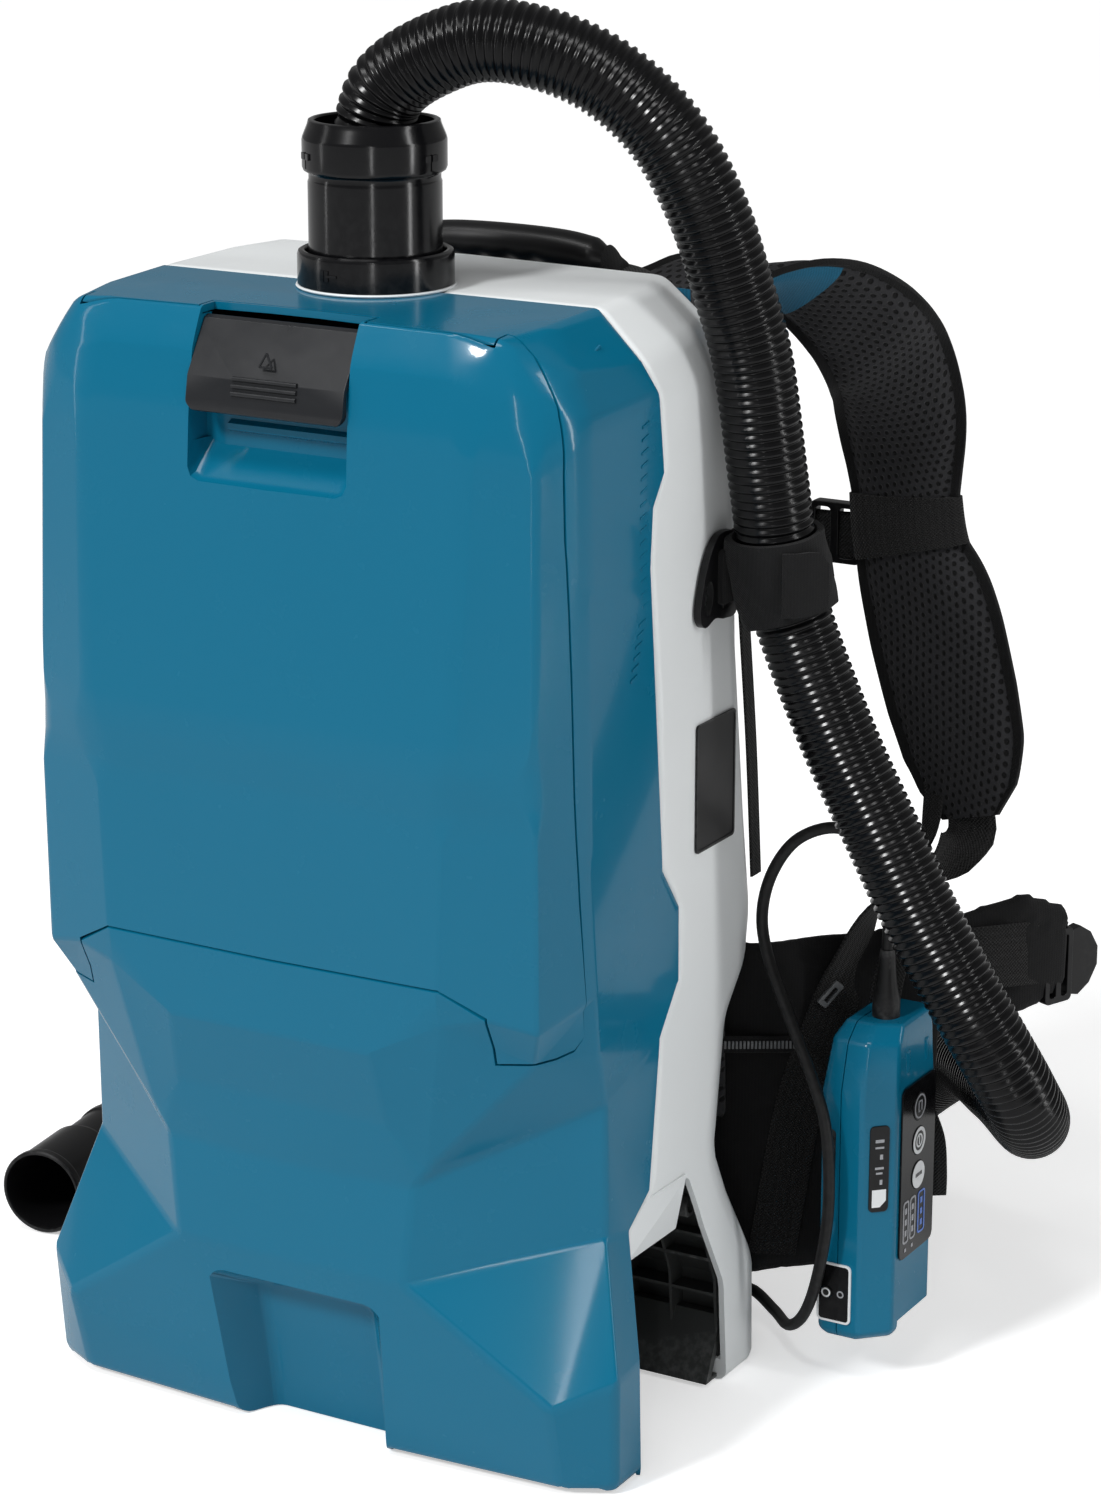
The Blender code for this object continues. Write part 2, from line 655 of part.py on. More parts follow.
def make_inlet():
    centre = (0, INLET_Y)
    base = BODY_TOP + 1.6
    turned("inlet_collar", "Z", centre, [
        (SWIVEL_BORE + 8.5, base), (COLLAR_R, base), (COLLAR_R, base + 4), (COLLAR_R - 1.2, base + 5.2),
        (COLLAR_R - 1.2, base + COLLAR_H - 2), (COLLAR_R - 3.2, base + COLLAR_H),
        (SWIVEL_R + RUN, base + COLLAR_H), (SWIVEL_R + RUN, base + 3), (SWIVEL_BORE + 8.5, base + 3)],
        40, BLACK)
    low = base + 4
    turned("inlet_swivel", "Z", centre, [
        (SWIVEL_BORE, low), (SWIVEL_R, low), (SWIVEL_R, 616), (SWIVEL_LIP_R, 618.5), (SWIVEL_LIP_R, 636.5),
        (SWIVEL_LIP_R - 2.5, SWIVEL_TOP), (SWIVEL_BORE - 2.2, SWIVEL_TOP), (SWIVEL_BORE - 2.2, 634),
        (SWIVEL_BORE, 630)], 40, BLACK, (0, INLET_Y, low))
    turned("inlet_seal", "Z", centre, [
        (SWIVEL_BORE + 0.5, base - 1), (SWIVEL_BORE + 8, base - 1), (SWIVEL_BORE + 8, base + 3 - FIT),
        (SWIVEL_BORE + 0.5, base + 3 - FIT)], 32, DARK)


# ---- dust chamber ------------------------------------------------------------------------


def make_chamber():
    half, wall = TUB_HALF, TUB_WALL
    tub = box("chamber_tub", (-half, half), (TUB_FRONT, TUB_BACK), (TUB_LOW, TUB_TOP), DARK)
    cut(tub, box("tub_inside", (-half + wall, half - wall), (TUB_FRONT - 5, TUB_BACK - wall),
                 (TUB_LOW + wall, TUB_TOP - wall)))
    cut(tub, rod("tub_inlet", "Z", (0, INLET_Y), SWIVEL_BORE, TUB_TOP - 10, TUB_TOP + 10, 32))
    cut(tub, rod("tub_outlet", "Z", (0, 0), 30, TUB_LOW - 10, TUB_LOW + 10, 24))
    y = (TUB_FRONT - GASKET, TUB_FRONT - FIT)
    gasket = box("door_gasket", (-TUB_HALF, TUB_HALF), y, (TUB_LOW + 4, TUB_TOP - 4), BLACK)
    half = TUB_HALF - GASKET_WIDE
    cut(gasket, box("gasket_inside", (-half, half), (TUB_FRONT - 20, TUB_FRONT + 5),
                    (TUB_LOW + 4 + GASKET_WIDE, TUB_TOP - 4 - GASKET_WIDE)))
    floor = TUB_LOW + TUB_WALL + FIT
    half = FILTER_HALF
    frame = box("filter_frame", (-half - 6, half + 6), (-48, 42), (floor, floor + FILTER_FRAME_H), GREY)
    cut(frame, box("frame_hole", (-half + 6, half - 6), (-38, 32), (floor - 8, floor + 12)))
    low = floor + FILTER_FRAME_H + FIT + PLEAT_THICK
    crest = [(half * (2 * i / PLEATS - 1), low + (PLEAT_H if i % 2 else 0)) for i in range(PLEATS + 1)]
    trough = [(x, z - PLEAT_THICK) for x, z in crest][::-1]
    prism("pleated_filter", "Y", crest + trough, -44, 38, WHITE)
    ceiling = TUB_TOP - TUB_WALL - FIT
    plate = box("bag_holder", (-52, 52), (INLET_Y - 42, INLET_Y + 42), (ceiling - HOLDER_THICK, ceiling),
                GREY)
    cut(plate, rod("holder_hole", "Z", (0, INLET_Y), SWIVEL_BORE, ceiling - 20, ceiling + 5, 32))
    section = rounded((-90, -38), (90, 38), 22, 3)
    sizes = [(225, 0.72, 0.6), (213, 0.95, 0.9), (145, 1.04, 1.05), (65, 1.0, 1.0), (25, 0.8, 0.85),
             (HOLDER_THICK + FIT, 0.42, 0.6)]
    bag = loft("dust_bag", [[(x * s, y * t - 8, ceiling - drop) for x, y in section]
                             for drop, s, t in sizes], PAPER)
    cut(bag, rod("bag_mouth", "Z", (0, INLET_Y), SWIVEL_BORE - 2, ceiling - 75, ceiling + 5, 24))


# ---- fan and motor ---------------------------------------------------------------------


def make_motor():
    top = FAN_TOP
    low = top - FAN_H
    turned("fan_shroud", "Z", (0, 0), [
        (SHROUD_EYE, top), (SHROUD_R, top), (SHROUD_R, SHROUD_LOW), (MOTOR_R - 3, SHROUD_LOW),
        (MOTOR_R - 3, SHROUD_LOW + SHROUD_WALL), (SHROUD_R - SHROUD_WALL, SHROUD_LOW + SHROUD_WALL),
        (SHROUD_R - SHROUD_WALL, top - SHROUD_WALL), (SHROUD_EYE, top - SHROUD_WALL)], 40, DARK)
    hub = turned("impeller", "Z", (0, 0), [
        (SHAFT_R + 0.05, low + 2), (FAN_R, low + 2), (FAN_R, low + 3.6), (12, low + 5), (9, low + 14),
        (SHAFT_R + 0.05, low + 14)], 36, GREY, (0, 0, low))
    blades = 9
    for k in range(blades):
        a = 2 * math.pi * k / blades
        inner, outer = [], []
        for i in range(5):
            r = 13 + (FAN_R - 14) * i / 4
            t = a - 0.22 * i
            d = 1.0 / r
            inner.append((r * math.cos(t - d), r * math.sin(t - d)))
            outer.append((r * math.cos(t + d), r * math.sin(t + d)))
        join(hub, prism(f"blade_{k}", "Z", inner + outer[::-1], low + 3, top - SHROUD_WALL - 2.5))
    rod("rotor_shaft", "Z", (0, 0), SHAFT_R, MOTOR_LOW + 11, low + 16, 20, STEEL, (0, 0, low))
    seat = MOTOR_LOW + 9
    can = turned("motor_can", "Z", (0, 0), [
        (SHAFT_R + 2, MOTOR_TOP), (MOTOR_R, MOTOR_TOP), (MOTOR_R, MOTOR_LOW + 5), (MOTOR_R - 8, MOTOR_LOW),
        (BEARING_R + FIT, MOTOR_LOW), (BEARING_R + FIT, seat + BEARING_H + 2),
        (SHAFT_R + 2, seat + BEARING_H + 2)], 36, GREY)
    slots = 8
    for k in range(slots):
        slot = box(f"can_slot_{k}", (MOTOR_R - 10, MOTOR_R + 6), (-5, 5), (150, 170))
        slot.rotation_euler = (0, 0, 2 * math.pi * k / slots)
        cut(can, slot)
    bore, race = SHAFT_R + 0.05, seat + BEARING_H
    profile = [(bore, seat), (BEARING_R, seat), (BEARING_R, race), (bore, race)]
    turned("motor_bearing", "Z", (0, 0), profile, 24, STEEL)
    box("controller_board", (BOARD_X - BOARD_THICK, BOARD_X), BOARD_Y, (FRAME_TOP + FIT, FRAME_TOP + BOARD_H),
        (0.02, 0.16, 0.07))


# ---- rear shell and base -----------------------------------------------------------------


def make_back():
    shell = back_solid("rear_shell")
    shell.data.materials.append(material("rear_shell", WHITE))
    cut(shell, back_solid("rear_inside", WALL, -6))
    for side in (-1, 1):
        cut(shell, bay_cutter(f"bay_{side}", side))
    cut(shell, rod("deck_hole", "Z", (0, INLET_Y), COLLAR_R + FIT, BODY_TOP - 20, BODY_TOP + 20, 40))
    cut(shell, rod("gland_hole", "Y", (GLAND_X, GLAND_Z), GLAND_R + FIT, 70, 130, 16))
    return shell


def make_frame():
    """Box that stands on the floor between the battery bays and carries the motor."""
    front, back, top, w = FRAME_FRONT, FRAME_BACK, FRAME_TOP, FRAME_WALL
    outline = [(front, 0), (back, 0), (back, 48), (70, 88), (70, top), (front, top)]
    room = [(front + w, w), (back - w, w), (back - w, 47), (70 - w, 87), (70 - w, top - w),
            (front + w, top - w)]
    frame = prism("base_frame", "X", outline, -FRAME_HALF, FRAME_HALF, DARK)
    cut(frame, prism("frame_inside", "X", room, -FRAME_HALF + w, FRAME_HALF - w))
    cut(frame, rod("deck_vent", "Z", (0, 0), 14, top - 10, top + 10, 24))
    cut(frame, box("deck_slot", (-40, 40), (45, 60), (top - 10, top + 10)))


def insert_front(z):
    """How far back the slanted wall of a battery bay stands at a height."""
    (y2, z2), (y1, z1), (y0, z0) = BAY[0], BAY[1], (BAY[2][0], 0)
    if z > z1:
        return y1 + (y2 - y1) * (z - z1) / (z2 - z1) + INSERT_SET_BACK
    return y0 + (y1 - y0) * (z - z0) / (z1 - z0) + INSERT_SET_BACK


def slab(name, profile, thick, low, high):
    """A wall in X that follows (Y, Z) points, thickened towards +Y."""
    return prism(name, "X", profile + [(y + thick, z) for y, z in profile[::-1]], low, high)


def make_inserts():
    """Ribbed wall at the back of each battery bay, and the contact block on its inner side."""
    top, knee, foot = INSERT_TOP, BAY[1][1], INSERT_FOOT
    for side, name in ((1, "bay_insert_right"), (-1, "bay_insert_left")):
        low, high = sorted((side * (BAY_FLOOR_X - 4), side * INSERT_X))
        line = [(insert_front(z), z) for z in (top, knee, foot)]
        wall = [(line[0][0] + 7, top), (line[1][0] + 12, knee - 2), (line[2][0] + 12, foot)]
        insert = prism(name, "X", wall + [(y + 3, z) for y, z in wall[::-1]], low, high, DARK)
        rib = [(line[0][0] + 3.5, top), (line[1][0], knee), (line[2][0] - 1, 14), (line[2][0], foot),
               (line[2][0] + 13, foot), (line[1][0] + 13, knee - 2), (line[0][0] + 8, top)]
        for k in range(INSERT_RIBS):
            at = BAY_FLOOR_X + 2 + k * (INSERT_X - INSERT_RIB - BAY_FLOOR_X - 2) / (INSERT_RIBS - 1)
            join(insert, prism(f"{name}_rib{k}", "X", rib, *sorted((side * at, side * (at + INSERT_RIB)))))
        for k, z in enumerate(INSERT_SHELVES):
            y = insert_front(z)
            join(insert, box(f"{name}_shelf{k}", (low, high), (y, y + 14), (z, z + 1.6)))
        lip = [(line[1][0] + 6, 34), (line[2][0] - 14, foot)]
        join(insert, slab(f"{name}_lip", lip, 5, low, high))
        join(insert, box(f"{name}_foot", (low, high), (line[2][0] - 10, line[2][0] + 14), (foot, foot + 2)))
    for side, name in ((1, "battery_dock_right"), (-1, "battery_dock_left")):
        x = sorted((side * (FRAME_HALF + FIT), side * (FRAME_HALF + DOCK_DEEP)))
        dock = box(name, x, DOCK_Y, DOCK_Z, BLACK)
        slot = sorted((side * (FRAME_HALF + 4), side * (FRAME_HALF + DOCK_DEEP + 2)))
        for k in range(DOCK_SLOTS):
            y = DOCK_Y[0] + 12 + 16 * k
            cut(dock, box(f"{name}_slot{k}", slot, (y, y + 2.4), (DOCK_Z[0] + 14, DOCK_Z[1] - 14)))


def make_label():
    """Plain plate on the right side; it stands on the shell's side face."""
    outline = rounded((PLATE_Y[0], PLATE_Z[0]), (PLATE_Y[1], PLATE_Z[1]), 3, 2)
    prism("side_plate", "X", outline, HALF_SIDE + FIT, HALF_SIDE + 1.0, BLACK)


# ---- hose, cuff, band and cable ------------------------------------------------------------

def make_hose():
    tube("vacuum_hose", HOSE_ROUTE, HOSE_D, HOSE_POINTS, BLACK, 3)
    ax, ay = CUFF_AXIS
    sx, sy = CUFF_START
    neck, body, mouth = HOSE_D / 2 + 1.4, CUFF_R - 1.4, CUFF_R - 2.4
    profile = [(0, neck), (50, neck), (54, body), (95, body + 0.4), (96, CUFF_R), (CUFF_LEN, CUFF_R),
               (CUFF_LEN, mouth), (94, mouth - 1), (58, mouth - 1.6), (50, neck - 2.4), (10, neck - 2.9),
               (6, neck - 5.4), (0, neck - 5.4)]
    steps = 28
    rings = []
    for i in range(steps):
        a = 2 * math.pi * i / steps
        rings.append([(sx + ax * along - ay * r * math.cos(a), sy + ay * along + ax * r * math.cos(a),
                       CUFF_Z + r * math.sin(a)) for along, r in profile])
    hoop("hose_cuff", rings, BLACK)


def hose_at(z):
    """Middle of the hose on its way down the side, at a height."""
    down = [p for p in smooth(HOSE_ROUTE, HOSE_POINTS) if p.x > 120 and p.y < 110]
    for p, q in zip(down, down[1:]):
        if q.z <= z <= p.z:
            return p.lerp(q, (p.z - z) / (p.z - q.z))
    return down[-1]


def make_band():
    inner, outer = HOSE_D / 2 + FIT, HOSE_D / 2 + FIT + BAND_THICK
    heights = [BAND_HIGH] + [p.z for p in smooth(HOSE_ROUTE, HOSE_POINTS)
                             if BAND_LOW + 3 < p.z < BAND_HIGH - 3 and p.x > 120 and p.y < 110] + [BAND_LOW]
    middles = [hose_at(z) for z in heights]
    axis = (middles[-1] - middles[0]).normalized()
    side = axis.cross(Vector((0, 1, 0))).normalized()
    other = axis.cross(side)
    rings = []
    steps = 24
    for i in range(steps):
        a = 2 * math.pi * i / steps
        out = side * math.cos(a) + other * math.sin(a)
        rings.append([m + out * outer for m in middles] + [m + out * inner for m in middles[::-1]])
    hoop("hose_band", rings, FABRIC)
    near, low, high = HALF_SIDE + FIT, BAND_LOW - 5, BAND_HIGH
    outline = [(58, low), (58, high - 2), (34, high), (27, high - 8), (24, low + 12), (34, low + 3)]
    hook = prism("band_hook", "X", outline, near, near + HOOK_THICK, BLACK)
    hole = rounded((31, low + 11), (36, high - 8), 2.4, 3)
    cut(hook, prism("hook_hole", "X", hole, near - 5, near + HOOK_THICK + 5))


def make_cable():
    tube("control_cable", CABLE_ROUTE, CABLE_D, 60, BLACK, 3)
    nose, bore = CABLE_D / 2 + 1.2, 0.6
    turned("cable_gland_shell", "Y", (GLAND_X, GLAND_Z), [
        (bore, 98), (GLAND_R, 98), (GLAND_R, 110), (nose, GLAND_END), (bore, GLAND_END)], 20, BLACK)
    low = BOX_Z[1] + FIT
    high = BOX_Z[1] + 10
    turned("cable_gland_box", "Z", (BOX_TOP_X, BOX_TOP_Y), [
        (bore, low), (6.5, low), (6.5, low + 2.7), (nose, high), (bore, high)], 20, BLACK)


# ---- control box -----------------------------------------------------------------------------


def box_ring(z, grow):
    """Section of the control box: chamfered at its two outer corners."""
    x0, x1 = BOX_X[0] - grow, BOX_X[1] + grow
    y0, y1 = BOX_Y[0] - grow, BOX_Y[1] + grow
    c = BOX_CHAMFER
    return [(x0, y0 + 3, z), (x0 + 3, y0, z), (x1 - c, y0, z), (x1, y0 + c, z),
            (x1, y1 - 5, z), (x1 - 5, y1, z), (x0 + 3, y1, z), (x0, y1 - 3, z)]


def box_rings(grow):
    low, high = BOX_Z
    rings = [box_ring(low + max(-grow, 0), grow - 3), box_ring(low + 4 - grow * 0.2, grow),
             box_ring(high - 34, grow)]
    middle = (BOX_Y[0] + BOX_Y[1]) / 2
    narrow = [(x - 1.5 if x > BOX_PARTING else x + 3, y + 0.2 * (middle - y), high - max(-grow, 0))
              for x, y, _ in box_ring(high, grow)]
    return rings + [narrow]


def button_places():
    y = (BOX_Y[0] + BOX_CHAMFER + BOX_Y[1]) / 2 - 1
    return [(name, y, PANEL_Z[1] - 14 - 18.5 * k) for k, name in enumerate(
        ("panel_button_sync", "panel_button_power", "panel_button_mode"))]


def make_control():
    back = loft("control_box_back", box_rings(0), TEAL)
    front = loft("control_box_front", box_rings(0), TEAL)
    for case, inner in ((back, "back_room"), (front, "front_room")):
        cut(case, loft(inner, box_rings(-2.5)))
    cut(back, box("back_half", (BOX_PARTING - FIT / 2, 300), (0, 300), (0, 300)))
    cut(front, box("front_half", (100, BOX_PARTING + FIT / 2), (0, 300), (0, 300)))
    x = BOX_X[1]
    y0, y1 = BOX_Y[0] + BOX_CHAMFER + 4, BOX_Y[1] - 6
    outline = rounded((y0, PANEL_Z[0]), (y1, PANEL_Z[1]), 4, 3)
    panel = prism("control_panel", "X", outline, x + FIT, x + 1.2, BLACK)
    for name, y, z in button_places():
        cut(front, rod(name + "_hole", "X", (y, z), BUTTON_R + RUN, x - 8, x + 8, 24))
        cut(panel, rod(name + "_gap", "X", (y, z), BUTTON_R + 0.4, x - 8, x + 8, 24))
        rod(name, "X", (y, z), BUTTON_R, x - BUTTON_DEEP, x + BUTTON_OUT, 24, GREY, (x, y, z))
    y = BOX_Y[0]
    plate = rounded((BOX_X[0] + 2.4, PAIR_Z - 15), (BOX_PARTING - 0.6, PAIR_Z + 15), 1.6, 2)
    plate = prism("pairing_plate", "Y", plate, y - 0.9, y - FIT, BLACK)
    cut(plate, rod("pair_gap", "Y", (PAIR_X, PAIR_Z), PAIR_R - 0.6, y - 5, y + 5, 20))
    cut(back, rod("pair_hole", "Y", (PAIR_X, PAIR_Z), PAIR_R - 0.4, y - 8, y + 8, 20))
    rod("pairing_button", "Y", (PAIR_X, PAIR_Z), PAIR_R - 1, y - 1.5, y + 3.6, 20, GREY,
        (PAIR_X, y, PAIR_Z))
    slot = rounded((BOX_X[0] + 3.5, 104), (BOX_PARTING - 2.5, 138), 2.4, 3)
    cut(back, prism("adapter_slot", "Y", slot, y - 5, y + 1.6))


# ---- harness -----------------------------------------------------------------------------


def back_line(z):
    """How far back the shell stands at a height."""
    rows = [(r[3][2], r[3][1]) for r in BACK_ROWS]
    for (z1, y1), (z0, y0) in zip(rows, rows[1:]):
        if z0 <= z <= z1:
            return y0 + (y1 - y0) * (z - z0) / (z1 - z0)
    return rows[-1][1]


def make_pad():
    rings = []
    for z in (112, 124, 190, 246, 310, 385, 470, 490, 500):
        y = max(back_line(z), 98 if z < 260 else 0) + 1.0
        inset = 8 if z in (112, 500) else 0
        half = PAD_HALF - inset - (26 if z > 480 else 0) - (14 if z == 470 else 0)
        half = half - (2 if z < 130 else 0)
        d = PAD_THICK - (6 if inset else 0)
        rings.append([(-half, y, z), (half, y, z), (half, y + d - 5, z), (half - 6, y + d, z),
                      (-half + 6, y + d, z), (-half, y + d - 5, z)])
    loft("back_pad", rings, FABRIC)


def make_straps():
    widths = [STRAP_WIDTH + d for d in (-22, -14, -8, -4, -2, -2, -2, 0, 3, 7, 10, 10, 8, 2, -14, -34)]
    ribbon("shoulder_strap_right", STRAP_ROUTE, STRAP_ACROSS, widths, STRAP_THICK, FABRIC, 16)
    drops = [3, 4.5] + [LEFT_DROP] * (len(STRAP_ROUTE) - 2)
    left = [(-x, y, z - drop) for (x, y, z), drop in zip(STRAP_ROUTE, drops)]
    ribbon("shoulder_strap_left", left, mirrored(STRAP_ACROSS), widths, STRAP_THICK, FABRIC, 16)
    ribbon("strap_webbing_right", WEB_ROUTE, WEB_ACROSS, WEB_WIDTH, WEB_THICK, FABRIC, 26)
    drops = [LEFT_DROP, 8] + [0] * (len(WEB_ROUTE) - 2)
    left = [(-x, y, z - drop) for (x, y, z), drop in zip(WEB_ROUTE, drops)]
    ribbon("strap_webbing_left", left, mirrored(WEB_ACROSS), WEB_WIDTH, WEB_THICK, FABRIC, 26)
    near = [(back_line(z) + FIT, z) for z in YOKE_Z]
    far = [(y + YOKE_THICK, z) for y, z in near[::-1]]
    loft("yoke_panel", [[(x, y, z) for y, z in near + far] for x in (-YOKE_HALF, 0, YOKE_HALF)], TEAL)


def make_sternum():
    y, z = STERNUM_Y, STERNUM_Z
    for side, name in ((1, "sternum_strap_right"), (-1, "sternum_strap_left")):
        route = [(side * 18, y + 3, z), (side * 60, y + 2, z), (side * 110, y + 0.4, z + 2),
                 (side * 150, y - 0.5, z + 4)]
        ribbon(name, route, [(0, 0, 1)], WEB_WIDTH, WEB_THICK, FABRIC, 6)
    box("sternum_buckle_socket", (FIT, 17.4), (y - 1, y + 8), (z - 16, z + 16), BLACK)
    box("sternum_buckle_plug", (-17.4, -FIT), (y - 1, y + 8), (z - 16, z + 16), BLACK)


def make_belt():
    for side, name in ((1, "waist_belt_right"), (-1, "waist_belt_left")):
        rings = []
        for i, (x, y) in enumerate(BELT_ROUTE):
            px, py = BELT_ROUTE[max(i - 1, 0)]
            qx, qy = BELT_ROUTE[min(i + 1, len(BELT_ROUTE) - 1)]
            d = Vector((qx - px, qy - py, 0)).normalized()
            n = Vector((-d.y, d.x, 0))
            low, high = BELT_LOW[i], BELT_HIGH[i]
            t = BELT_THICK / 2
            shape = [(t, low + 5), (t, high - 5), (t - 4, high), (4 - t, high),
                     (-t, high - 5), (-t, low + 5), (4 - t, low), (t - 4, low)]
            ring = [(x + n.x * u, y + n.y * u, v) for u, v in shape]
            rings.append(ring if side > 0 else mirrored(ring))
        loft(name, rings, FABRIC)
    for side, name in ((1, "belt_buckle_right"), (-1, "belt_buckle_left")):
        x0, y0 = BUCKLE_AT
        ring = []
        for along, half in ((-9, 20), (4, 20), (20, 15), (26, 8)):
            d = Vector((0.38, 0.92))
            n = Vector((-0.92, 0.38))
            cx, cy = x0 + d.x * along, y0 + d.y * along
            ring.append([(side * (cx + n.x * u), cy + n.y * u, BUCKLE_Z + v) for u, v in
                         ((-3, -half), (3, -half), (3, half), (-3, half))])
        loft(name, ring, BLACK)


def make_handle():
    y = back_line(545) + 14
    grip = [(-42, y, 561), (-22, y + 1, 566), (10, y + 2, 568), (42, y + 1, 566), (62, y, 561)]
    route = smooth(grip, 10)
    rings = []
    for i, p in enumerate(route):
        r = 8.0 if 0 < i < 9 else 6.5
        rings.append([(p.x, p.y + r * math.cos(a), p.z + r * 1.1 * math.sin(a)) for a in
                      [2 * math.pi * k / 14 for k in range(14)]])
    body = loft("handle_grip", rings, BLACK)
    left = [(-76, 83.7, 550), (-62, y - 2, 556)]
    right = [(84, y - 2.4, 558), (98, 83.4, 553)]
    route = left + grip + right
    across = [(0.4, 1, 0)] + [(0, 1, 0)] * 7 + [(-0.4, 1, 0)]
    ribbon("handle_webbing", route, across, 10, 2.4, FABRIC, 22)
    cut(body, ribbon("grip_channel", route, across, 10 + 2 * FIT, 2.4 + 2 * FIT, FABRIC, 22))


def make_hanger():
    top = BOX_Z[1]
    route = [(198, 142, top + 1.6), (198, 147, top + 8), (199, 156, top + 16), (200.6, 165.2, top + 24)]
    across = [(1, 0, 0), (1, 0, 0), (0.84, 0.54, 0)]
    ribbon("box_hanger", route, across, HANGER_WIDTH, HANGER_THICK, FABRIC, 6)


clear()
make_front()
make_door()
make_hinge()
make_latch()
make_inlet()
make_chamber()
make_motor()
make_back()
make_frame()
make_inserts()
make_label()
make_hose()
make_band()
make_cable()
make_control()
make_pad()
make_straps()
make_sternum()
make_belt()
make_handle()
make_hanger()
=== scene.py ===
"""Backpack vacuum cleaner: the looks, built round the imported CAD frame. Shapes are in millimetres."""

import contextlib
from math import copysign, cos, exp, pi, radians, sin

import bmesh
import bpy
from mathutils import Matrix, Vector


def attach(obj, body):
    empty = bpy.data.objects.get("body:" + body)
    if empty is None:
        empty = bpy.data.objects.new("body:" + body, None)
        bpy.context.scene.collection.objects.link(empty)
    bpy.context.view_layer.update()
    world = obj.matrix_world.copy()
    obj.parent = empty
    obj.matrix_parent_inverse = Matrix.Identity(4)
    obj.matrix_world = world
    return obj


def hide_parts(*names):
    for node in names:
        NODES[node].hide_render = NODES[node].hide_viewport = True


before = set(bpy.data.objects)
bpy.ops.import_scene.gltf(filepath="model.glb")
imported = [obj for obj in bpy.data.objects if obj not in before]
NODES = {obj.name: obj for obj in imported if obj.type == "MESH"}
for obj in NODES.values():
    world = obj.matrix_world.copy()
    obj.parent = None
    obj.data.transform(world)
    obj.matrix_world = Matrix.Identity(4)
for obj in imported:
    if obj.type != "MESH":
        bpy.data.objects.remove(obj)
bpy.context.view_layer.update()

MM = 0.001
SCENE = bpy.context.scene
SIDES = ((1, "right"), (-1, "left"))

# ---- camera and studio
CAMERA_AT = (0.99689, -1.58776, 0.8810)
CAMERA_AZ = 29.85
CAMERA_EL = 16.38
LENS = 95.78

# ---- sizes the CAD source also holds
WALL = 3.0
HINGE_Y = -100.0
HINGE_Z = 232.0
LATCH_Y = -92.2
LATCH_Z = 552.6
LATCH_HALF = 42.6
INLET_Y = -15.0
HOSE_D = 38.0
CABLE_D = 6.0
CUFF_R = 24.0
CUFF_Z = 24.3
CUFF_LEN = 100.0
CUFF_START = (-280.2, 146.8)
CUFF_AXIS = (0.139, -0.990)

HOSE_ROUTE = [
    (0, -15, 630.4), (1, -15, 640.4), (8, -15, 655), (26, -13, 668), (54, -9, 678), (84, -2, 675), (112, 8, 662),
    (136, 18, 638), (152, 28, 604), (161, 38, 566), (168, 46, 530), (174, 53, 470), (180, 59, 420),
    (203, 66, 356), (228, 71, 304), (252, 76, 256), (278.5, 83, 209), (289, 92.7, 184), (291.6, 104, 168),
    (289.8, 118.6, 155), (283.4, 135, 145.5), (273.4, 151.5, 140.5), (255, 176, 137.5), (237, 200, 133),
    (196, 249, 124), (168, 275, 101), (136, 297, 72), (100, 313, 45), (60, 322, 27), (16, 325, 20.2),
    (-30, 325, 19.4), (-80, 324, 19.4), (-130, 320, 19.4), (-180, 311, 19.4), (-226, 293, 19.4),
    (-260, 264, 19.4), (-279, 228, 20.6), (-284.4, 204, 22.6), (-284.6, 186.4, 23.8),
    (-283, 166.6, CUFF_Z), (-280.3, 147.2, CUFF_Z),
]
GLAND_AT = (120.0, 22.0)  # X and Z of the cable's way out of the shell
BOX_TOP_AT = (208.0, 124.0)  # X and Y of its way into the control box
CABLE_ROUTE = [
    (120, 120.5, 22), (120, 130, 22), (128, 140, 18), (146, 130, 14), (163, 112, 17), (180, 95, 34),
    (192, 85, 62), (198, 83, 100), (196, 83, 140), (188, 83, 166), (174, 84, 196), (161, 86, 224),
    (156, 88, 246), (160, 91, 268), (172, 95, 286), (190, 103, 292), (205, 113, 280), (209, 121, 254),
    (208, 124, 228), (208, 124, 208.4),
]

# ---- mesh helpers: points in millimetres


@contextlib.contextmanager
def editing(obj):
    """The object's mesh as a bmesh, written back at the end."""
    work = bmesh.new()
    work.from_mesh(obj.data)
    yield work
    work.to_mesh(obj.data)
    work.free()


def placed(name, data):
    """A new object in the scene."""
    obj = bpy.data.objects.new(name, data)
    SCENE.collection.objects.link(obj)
    return obj


def mesh_object(name, points, faces, scale=MM):
    mesh = bpy.data.meshes.new(name)
    mesh.from_pydata([Vector(p) * scale for p in points], [], faces)
    mesh.validate()
    obj = placed(name, mesh)
    with editing(obj) as work:
        bmesh.ops.recalc_face_normals(work, faces=work.faces)
        if len(work.faces) and work.calc_volume(signed=True) < 0:
            bmesh.ops.reverse_faces(work, faces=work.faces)
    return obj


def loft(name, rings, closed=False):
    """Skins rings of points, with a cap at both ends, or joined end to end when closed."""
    n, count = len(rings[0]), len(rings)
    faces = []
    for r in range(count if closed else count - 1):
        s = (r + 1) % count
        for i in range(n):
            j = (i + 1) % n
            faces.append((r * n + i, r * n + j, s * n + j, s * n + i))
    if not closed:
        faces.append(tuple(range(n))[::-1])
        faces.append(tuple((count - 1) * n + i for i in range(n)))
    return mesh_object(name, [p for ring in rings for p in ring], faces)


def place(axis, u, v, w):
    """A point from two coordinates across an axis and one along it."""
    return {"X": (w, u, v), "Y": (u, w, v), "Z": (u, v, w)}[axis]


def prism(name, axis, outline, low, high):
    return loft(name, [[place(axis, u, v, w) for u, v in outline] for w in (low, high)])


